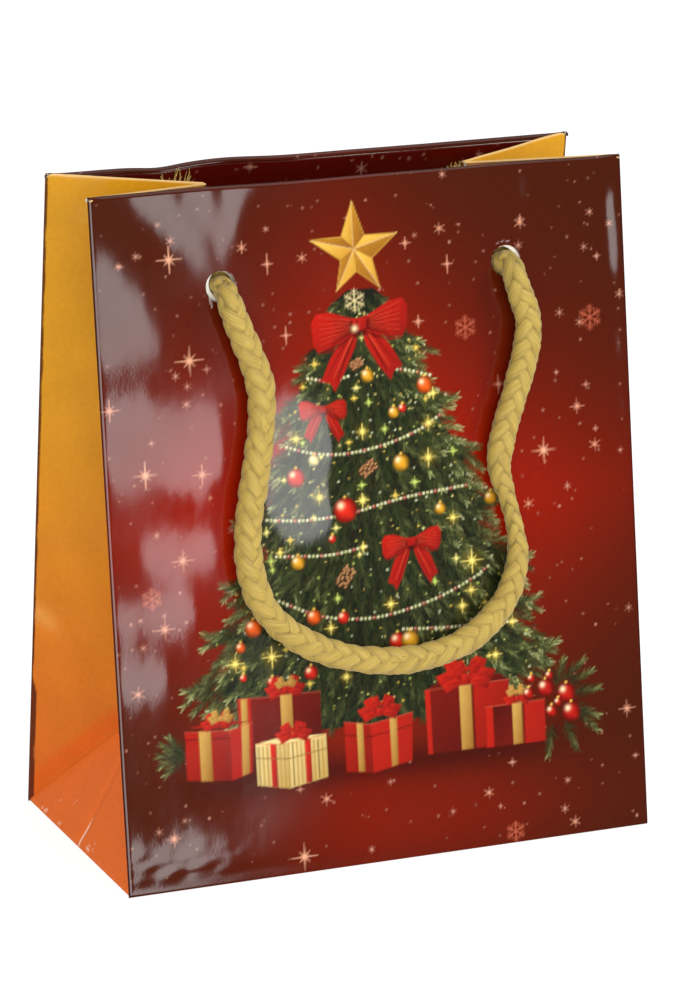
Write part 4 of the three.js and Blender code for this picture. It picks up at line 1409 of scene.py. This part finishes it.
def gusset_colours(deep, up, dark_edge, seed):
    """Orange that reddens towards the foot, with a painted shade band just above the diagonal crease, and the
    wall's dark ink bleeding round the fold.
    """
    colour = orange_low + (orange_top - orange_low) * smooth(up, 2, 118)[..., None]
    # painted shade: a deeper orange band just above the diagonal crease, where the sheet curves into the fold
    above = up - deep
    crease_shade_band = smooth(above, -1, 2) * (1 - smooth(above, 4, 9)) * (1 - smooth(up, 26, 40))
    colour = colour + (orange_crease_shade - colour) * (0.75 * crease_shade_band)[..., None]
    pale = np.exp(-((up - 46 + 0.3 * deep) / 2.2) ** 2) * (1 - smooth(deep, 3, 9))
    colour = colour + (rgb("EFB060") - colour) * (0.35 * pale)[..., None]
    colour = colour * (1 + 0.03 * soft_noise(deep, up, 16, seed))[..., None]
    wobble = 0.10 * soft_noise(deep * 0, up, 7, seed + 1) + 0.05 * soft_noise(deep * 0, up, 2, seed + 2)
    low_wide, high_wide = dark_edge
    wide = low_wide + (high_wide - low_wide) * smooth(up, 26, 30) + wobble
    cover = 1 - smooth(deep - wide, -0.12, 0.16)
    crease = np.exp(-((half_depth - deep) / 0.30) ** 2)
    colour = colour + (rgb("F2C27A") - colour) * (0.30 * crease)[..., None]
    return colour + (rgb("4A1608") - colour) * (0.9 * cover)[..., None]


def gusset_half(side, end, dark_edge, seed):
    mirror = np.array([1 if side == "left" else -1, 1 if end == "front" else -1, 1])
    top_roll = 0.40
    columns = np.concatenate([np.linspace(0, 0.03, 5)[:-1], np.linspace(0.03, 1, 76)])
    low = 0.03
    along = np.concatenate([np.linspace(0, 0.03, 8)[:-1], np.linspace(0.03, 1, 236)])
    share, rise = np.meshgrid(columns, along)
    top = wall_height - top_roll - 0.6 * (1 - smooth(share, 0.0, 0.05))
    up = low + rise * (top - low) + share * half_depth * (1 - rise)
    inward, upward = gusset_inward(share, up)
    from_edge = share * half_depth
    waves = 0.16 * soft_noise(from_edge, up, 30, seed) + 0.05 * soft_noise(from_edge, up, 10, seed + 5)
    waves = waves * smooth(share, 0.02, 0.2) * smooth(1 - share, 0.02, 0.2) * smooth(rise, 0.01, 0.12)
    sink = 0.12 * (1 - smooth(rise * (top - low), 0.0, 1.2))
    outer = gusset_surface(share, up) + inward * (sink - waves)[..., None]
    turns = np.linspace(0, math.pi, 9)[1:]
    last_inward, last_upward = inward[-1], upward[-1]
    rolled = [
        outer[-1] + last_inward * top_roll * (1 - math.cos(t)) + last_upward * top_roll * math.sin(t)
        for t in turns
    ]
    outer = np.concatenate([outer, np.stack(rolled)])
    facing = [unit(last_inward * math.cos(t) - last_upward * math.sin(t)) for t in turns]
    inward = np.concatenate([inward, np.stack(facing)])
    colours = gusset_colours(share * half_depth, up, dark_edge, seed)
    lit_edge = colours[-1] * 0.6 + rgb("FBE3B0") * 0.4
    colours = np.concatenate([colours, np.repeat(lit_edge[None], len(turns), axis=0)])
    flip = mirror[0] * mirror[1] < 0
    outer, inward = outer * mirror, inward * mirror
    if flip:
        outer, inward, colours = outer[:, ::-1], inward[:, ::-1], colours[:, ::-1]
    piece = closed_sheet(f"{side}_{end}_gusset_sheet", outer, inward, 0.22)
    store_colours(piece, "print_colour", both_sides(colours))
    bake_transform(piece)
    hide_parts(f"{side}_gusset_{end}")
    return piece


def gusset_hem(side, end, seed):
    mirror = np.array([1 if side == "left" else -1, 1 if end == "front" else -1, 1])
    share, up = np.meshgrid(
        np.linspace(0.16, 0.985, 60), spaced(wall_height - hem_depth, wall_height - 0.45, 0.7)
    )
    inward, _ = gusset_inward(share, up)
    face = gusset_surface(share, up) + inward * 0.82
    colours = rgb("AC6A10") * (1 + 0.03 * soft_noise(share * half_depth, up, 9, seed))[..., None]
    face, inward = face * mirror, inward * mirror
    if mirror[0] * mirror[1] > 0:
        face, inward, colours = face[:, ::-1], inward[:, ::-1], colours[:, ::-1]
    piece = closed_sheet(f"{side}_{end}_gusset_hem_sheet", face, -inward, 0.20)
    store_colours(piece, "print_colour", both_sides(colours))
    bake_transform(piece)
    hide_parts(f"{side}_gusset_hem_{end}")
    return piece


gussets, gusset_hems = [], []
for number, (side, end, dark_edge) in enumerate([
    ("left", "front", (0.35, 0.25)), ("left", "rear", (1.5, 0.55)),
    ("right", "front", (0.5, 0.4)), ("right", "rear", (0.9, 0.5)),
]):
    gussets.append(gusset_half(side, end, dark_edge, 50 + 3 * number))
    gusset_hems.append(gusset_hem(side, end, 70 + number))
print("gusset faces:", len(gussets[0].data.polygons))

# %% [markdown]
# ### The triangles at the foot
#
# Between the base and the two diagonal creases each gusset has a flat triangle that leans in. It
# carries a faint middle crease and a few scratches from handling. Painted colour adds a whitish
# highlight at the foot of the middle crease, a darker painted shade line along it, and painted
# shade deepening the orange near the diagonal creases. Its edges dip behind the gusset halves, so
# no gap opens there when a wall is moved.


# %% Foot triangles
def scratches_glint_and_crease_shade(sheet, seed):
    rng = np.random.default_rng(seed)
    white = rgb("FFF0DC")
    for _ in range(10):
        x, y = rng.uniform(-30, 26), rng.uniform(0.8, 3.5)
        stroke(sheet, x, y, x + rng.uniform(0.4, 2.0), y + rng.uniform(-0.3, 0.3), 0.09, 0.03, white, 0.75)
    for _ in range(5):
        x, y = rng.uniform(-20, 20), rng.uniform(3, 20)
        stroke(sheet, x, y, x + rng.uniform(0.5, 2.5), y + rng.uniform(-1.5, 1.5), 0.07, 0.02, white, 0.4)
    # a painted highlight: a whitish glint at the lower end of the middle crease
    stroke(sheet, 0, 0.5, 0, 7, 0.22, 0.10, white, 0.75)
    # painted shade: a darker orange line along the middle crease
    stroke(sheet, 0, 6, 0, 31, 0.14, 0.10, rgb("C85A18"), 0.6)


def foot_triangle(side, seed):
    tuck = 1.7
    heights = np.concatenate([[foot, 0.25, 0.45, 0.7], np.linspace(1.1, half_depth + 0.9, 84)])
    share = np.linspace(-1, 1, 129)
    rows = []
    for height in heights:
        rows.append(share * min(half_depth - height + tuck, half_depth - 0.45 - height * sin_lean))
    across = np.array(rows)
    up = np.broadcast_to(heights[:, None], across.shape)
    beyond = np.abs(across) - (half_depth - up)
    deep = 0.40 * smooth(beyond, 0.25, 1.2)
    deep = deep + 0.30 * np.exp(-(across / 1.1) ** 2) * smooth(up, 0.5, 5) * (1 - smooth(up, 24, 32))
    deep = deep + 0.4 * (1 - smooth(up, 0, 0.9))
    ripple = 0.09 * soft_noise(across, up * 0.6, 17, seed) + 0.008 * soft_noise(across, up, 6, seed + 1)
    deep = deep - ripple * smooth(-beyond, 0.5, 5) * smooth(up, 0.8, 3)
    # the lowest edge turns straight inwards, so nothing reaches under the bag
    inward_x, inward_z = cos_web, -sin_web * smooth(up, 0.35, 1.4)
    x = -half_width + up * sin_web + deep * inward_x
    z = up * cos_web + deep * inward_z
    outer = np.stack([x, across, z], axis=-1)
    flat = Canvas(np.linspace(-34, 34, 341), np.linspace(0, 34, 171))
    flat.colours[:] = rgb("E46C25")
    scratches_glint_and_crease_shade(flat, seed)
    column = np.clip(np.round((across + 34) / 0.2).astype(int), 0, 340)
    row = np.clip(np.round(up / 0.2).astype(int), 0, 170)
    colours = flat.colours[row, column]
    # painted shade: the orange deepens near the diagonal creases
    near_crease_shade = np.exp(-(beyond / 1.1) ** 2)
    colours = colours + (orange_crease_shade - colours) * (0.25 * near_crease_shade)[..., None]
    inward = np.stack([np.full(up.shape, inward_x), np.zeros(up.shape), inward_z], axis=-1)
    turn = np.array([1, 1, 1] if side == "left" else [-1, -1, 1])
    piece = closed_sheet(f"{side}_foot_triangle", outer * turn, inward * turn, 0.24)
    store_colours(piece, "print_colour", both_sides(colours))
    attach(piece, "bag_base")
    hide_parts(f"{side}_base_web")
    return piece


foot_triangles = [foot_triangle("left", 81), foot_triangle("right", 84)]
print("triangle faces:", len(foot_triangles[0].data.polygons))

# %% [markdown]
# ## Finishes
#
# The sheet is coated paper: ink under a clear glossy film. The film has a fine grain that breaks
# up the edges of a reflection, and soft dull patches. The inside is raw paper with short fibres.
# The cards are grey-white and rougher. The rope is soft polypropylene with fine lengthwise
# fibres. Its colour carries painted shade: each ribbon darkens towards its edges, where it dives
# under its neighbours, the core between the ribbons is painted dark, and loose fibres are painted
# brighter, partly for their paler fray and partly against the shade inside the bag.


# %% Node helpers
def new_finish(name):
    material = bpy.data.materials.new(name)
    material.use_nodes = True
    tree = material.node_tree
    shader = tree.nodes["Principled BSDF"]
    return material, tree, shader


def add_noise(tree, coordinates, scale, detail=3.0, rough=0.55):
    noise = tree.nodes.new("ShaderNodeTexNoise")
    noise.inputs["Scale"].default_value = scale
    noise.inputs["Detail"].default_value = detail
    noise.inputs["Roughness"].default_value = rough
    tree.links.new(coordinates, noise.inputs["Vector"])
    return noise.outputs["Fac"]


def object_place(tree, stretch=(1, 1, 1)):
    place = tree.nodes.new("ShaderNodeTexCoord")
    mapping = tree.nodes.new("ShaderNodeMapping")
    mapping.inputs["Scale"].default_value = stretch
    tree.links.new(place.outputs["Object"], mapping.inputs["Vector"])
    return mapping.outputs["Vector"]


def to_range(tree, value, low, high, source=(0.3, 0.7)):
    ranged = tree.nodes.new("ShaderNodeMapRange")
    ranged.inputs["From Min"].default_value = source[0]
    ranged.inputs["From Max"].default_value = source[1]
    ranged.inputs["To Min"].default_value = low
    ranged.inputs["To Max"].default_value = high
    tree.links.new(value, ranged.inputs["Value"])
    return ranged.outputs["Result"]


def add_bump(tree, shader, height, distance, strength, under=None):
    bump = tree.nodes.new("ShaderNodeBump")
    bump.inputs["Strength"].default_value = strength
    bump.inputs["Distance"].default_value = distance
    tree.links.new(height, bump.inputs["Height"])
    if under is not None:
        tree.links.new(under, bump.inputs["Normal"])
    tree.links.new(bump.outputs["Normal"], shader.inputs["Normal"])
    return bump.outputs["Normal"]


def point_colour(tree, name):
    reader = tree.nodes.new("ShaderNodeAttribute")
    reader.attribute_name = name
    return reader


def multiply(tree, colour, factor):
    scaled = tree.nodes.new("ShaderNodeVectorMath")
    scaled.operation = "SCALE"
    tree.links.new(colour, scaled.inputs[0])
    tree.links.new(factor, scaled.inputs["Scale"])
    return scaled.outputs["Vector"]


# %% Laminated print, plain orange and maroon, and raw paper
def laminated(name, gloss, grain, mirror=0.5):
    material, tree, shader = new_finish(name)
    shader.inputs["Specular IOR Level"].default_value = mirror
    place = object_place(tree)
    reader = point_colour(tree, "print_colour")
    mottle = to_range(tree, add_noise(tree, place, 900), 0.955, 1.045)
    tree.links.new(multiply(tree, reader.outputs["Color"], mottle), shader.inputs["Base Color"])
    dull = to_range(tree, add_noise(tree, place, 55), gloss - 0.02, gloss + 0.03)
    tree.links.new(dull, shader.inputs["Roughness"])
    wide = add_bump(tree, shader, add_noise(tree, place, 260, 1.0), 0.000005, grain)
    add_bump(tree, shader, add_noise(tree, place, 2100, 2.0, 0.6), 0.000006, grain, wide)
    return material


def raw_stock(name, colour, scale, deep):
    material, tree, shader = new_finish(name)
    place = object_place(tree, (1, 1, 0.35))
    fibre = add_noise(tree, place, scale, 5.0, 0.7)
    blotch = add_noise(tree, place, scale * 0.08, 2.0)
    tint = tree.nodes.new("ShaderNodeMix")
    tint.data_type = "RGBA"
    tint.inputs[6].default_value = (*(colour * 0.84), 1)
    tint.inputs[7].default_value = (*np.clip(colour * 1.06, 0, 1), 1)
    tree.links.new(to_range(tree, fibre, 0.0, 1.0), tint.inputs[0])
    tree.links.new(
        multiply(tree, tint.outputs[2], to_range(tree, blotch, 0.95, 1.03)), shader.inputs["Base Color"]
    )
    tree.links.new(to_range(tree, fibre, 0.78, 0.95), shader.inputs["Roughness"])
    add_bump(tree, shader, fibre, deep, 0.5)
    return material


printed_film = laminated("printed_film", 0.07, 0.6)
orange_film = laminated("orange_film", 0.20, 0.8, 0.35)
maroon_film = laminated("maroon_film", 0.24, 0.8, 0.2)
raw_paper = raw_stock("raw_paper", raw_paper_colour, 1400, 0.00004)
white_board = raw_stock("white_board", rgb("EFEBE2"), 1100, 0.00006)
grey_board = raw_stock("grey_board", rgb("A8A196"), 800, 0.00009)


# %% Braided rope
def braided_finish(name, dark, pale):
    material, tree, shader = new_finish(name)
    along = point_colour(tree, "fibre_along").outputs["Fac"]
    across = point_colour(tree, "fibre_across").outputs["Fac"]
    place = tree.nodes.new("ShaderNodeCombineXYZ")
    tree.links.new(along, place.inputs["X"])
    tree.links.new(across, place.inputs["Y"])
    stretch = tree.nodes.new("ShaderNodeMapping")
    stretch.inputs["Scale"].default_value = (0.16, 5.2, 1)
    tree.links.new(place.outputs["Vector"], stretch.inputs["Vector"])
    streaks = add_noise(tree, stretch.outputs["Vector"], 1.0, 4.0, 0.7)
    patches = add_noise(tree, place.outputs["Vector"], 0.22, 2.0)
    tint = tree.nodes.new("ShaderNodeMix")
    tint.data_type = "RGBA"
    tint.inputs[6].default_value = (*dark, 1)
    tint.inputs[7].default_value = (*pale, 1)
    tree.links.new(to_range(tree, streaks, 0.0, 1.0, (0.25, 0.75)), tint.inputs[0])
    # the painted shade darkens ribbon edges and the core and brightens loose fibres
    shade = point_colour(tree, "fibre_painted_shade").outputs["Fac"]
    patchy = multiply(tree, tint.outputs[2], to_range(tree, patches, 0.93, 1.06))
    tree.links.new(multiply(tree, patchy, shade), shader.inputs["Base Color"])
    tree.links.new(to_range(tree, streaks, 0.62, 0.42), shader.inputs["Roughness"])
    shader.inputs["Sheen Weight"].default_value = 0.25
    shader.inputs["Sheen Roughness"].default_value = 0.4
    add_bump(tree, shader, streaks, 0.00022, 0.8)
    return material


rope_finish = braided_finish("khaki_braid", rgb("967824"), rgb("D6B858"))


# %% Put the finishes on the pieces
def finish_piece(piece, *materials):
    """Give a piece its materials. Clearing old ones forgets each face's side, so that is kept."""
    sides = np.zeros(len(piece.data.polygons), dtype=np.int32)
    piece.data.polygons.foreach_get("material_index", sides)
    piece.data.materials.clear()
    for material in materials:
        piece.data.materials.append(material)
    piece.data.polygons.foreach_set("material_index", np.minimum(sides, len(materials) - 1))


for piece in (front_sheet, rear_sheet):
    finish_piece(piece, printed_film, raw_paper)
for piece in (*gussets, *gusset_hems, *foot_triangles):
    finish_piece(piece, orange_film, raw_paper)
for piece in hems:
    # the raw side of a hem is its first material, and the printed side its second
    finish_piece(piece, raw_paper, maroon_film)
for piece in rim_cards:
    finish_piece(piece, white_board, white_board)
for piece in (front_rope, rear_rope, *knots):
    finish_piece(piece, rope_finish)


def plain_film(name, colour, gloss):
    """The same laminated sheet where it lies flat under the bag and carries one colour."""
    material, tree, shader = new_finish(name)
    place = object_place(tree)
    tint = tree.nodes.new("ShaderNodeMix")
    tint.data_type = "RGBA"
    tint.inputs[6].default_value = (*(colour * 0.9), 1)
    tint.inputs[7].default_value = (*(colour * 1.08), 1)
    tree.links.new(to_range(tree, add_noise(tree, place, 420, 4.0), 0, 1), tint.inputs[0])
    tree.links.new(tint.outputs[2], shader.inputs["Base Color"])
    tree.links.new(to_range(tree, add_noise(tree, place, 60), gloss, gloss + 0.1), shader.inputs["Roughness"])
    add_bump(tree, shader, add_noise(tree, place, 300, 3.0), 0.00005, 0.6)
    return material


flap_maroon = plain_film("flap_maroon", rgb("6A1A10"), 0.25)
flap_orange = plain_film("flap_orange", rgb("DC8A34"), 0.25)
for name, material in {
    "base_flap_front": flap_maroon, "base_flap_rear": flap_maroon,
    "base_flap_left": flap_orange, "base_flap_right": flap_orange,
    "base_card": grey_board, "seam_tab": flap_maroon,
}.items():
    finish_piece(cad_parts[name], material)
print("finishes:", len(bpy.data.materials))

# %% [markdown]
# ## Floor and light
#
# The bag stands on a wide, nearly white floor. A large soft light in front gives the broad
# reflections in the film: its right-hand edge is placed just where a flat wall would stop
# mirroring it, so shallow waves decide what shines. A smaller light from the right throws the
# ropes' soft shadows to the left, a third from the left lights the gusset, and a wide one
# overhead keeps the floor pale. The surroundings are dark in reflections only, so the ink keeps
# its depth.


# %% Floor
def make_floor():
    across, deep = np.meshgrid(np.linspace(-3000, 3000, 13), np.linspace(-3000, 3000, 13))
    points = np.stack([across, deep, np.zeros(across.shape)], axis=-1).reshape(-1, 3)
    floor = make_piece("floor", points, grid_quads(13, 13))
    material, tree, shader = new_finish("pale_floor")
    place = object_place(tree)
    tree.links.new(to_range(tree, add_noise(tree, place, 9), 0.80, 0.84), shader.inputs["Roughness"])
    shader.inputs["Base Color"].default_value = (0.40, 0.40, 0.40, 1)
    shader.inputs["Emission Color"].default_value = (1, 1, 1, 1)
    shader.inputs["Emission Strength"].default_value = 0.78
    finish_piece(floor, material)
    floor.visible_glossy = False
    return floor


floor = make_floor()


# %% Lights
def soft_box(name, azimuth, elevation, distance, width, height, radiance, tint=(1, 1, 1)):
    """A rectangular light that faces the bag. Azimuth 0 is straight in front, 90 to the right."""
    a, e = math.radians(azimuth), math.radians(elevation)
    toward = Vector((math.sin(a) * math.cos(e), -math.cos(a) * math.cos(e), math.sin(e)))
    light = bpy.data.lights.new(name, "AREA")
    light.shape = "RECTANGLE"
    light.size = width
    light.size_y = height
    light.energy = radiance * math.pi * width * height
    light.color = tint
    lamp = bpy.data.objects.new(name, light)
    bpy.context.scene.collection.objects.link(lamp)
    lamp.location = Vector((0, 0, 0.07)) + toward * distance
    lamp.rotation_euler = toward.to_track_quat("Z", "Y").to_euler()
    lamp.visible_camera = False
    return lamp


soft_box("front_light", -7.4, 4.0, 2.2, 2.10, 1.5, 4.6)
soft_box("right_light", 52.0, 34.0, 1.9, 0.55, 0.55, 14.0)
soft_box("left_light", -105.0, 22.0, 1.8, 1.0, 1.2, 2.2)
soft_box("top_light", 10.0, 86.0, 2.0, 2.4, 2.4, 0.9)

# %% Surroundings
world = bpy.data.worlds.new("studio")
world.use_nodes = True
bpy.context.scene.world = world
nodes, links = world.node_tree.nodes, world.node_tree.links
path = nodes.new("ShaderNodeLightPath")
fill_light = nodes.new("ShaderNodeMix")
room_brightness = 0.32
room_in_gloss = 0.13
fill_light.inputs[2].default_value = room_brightness
fill_light.inputs[3].default_value = room_in_gloss
links.new(path.outputs["Is Glossy Ray"], fill_light.inputs[0])
shown = nodes.new("ShaderNodeMix")
shown.inputs[3].default_value = 1.0
links.new(path.outputs["Is Camera Ray"], shown.inputs[0])
links.new(fill_light.outputs[0], shown.inputs[2])
links.new(shown.outputs[0], nodes["Background"].inputs["Strength"])
nodes["Background"].inputs["Color"].default_value = (1, 1, 1, 1)
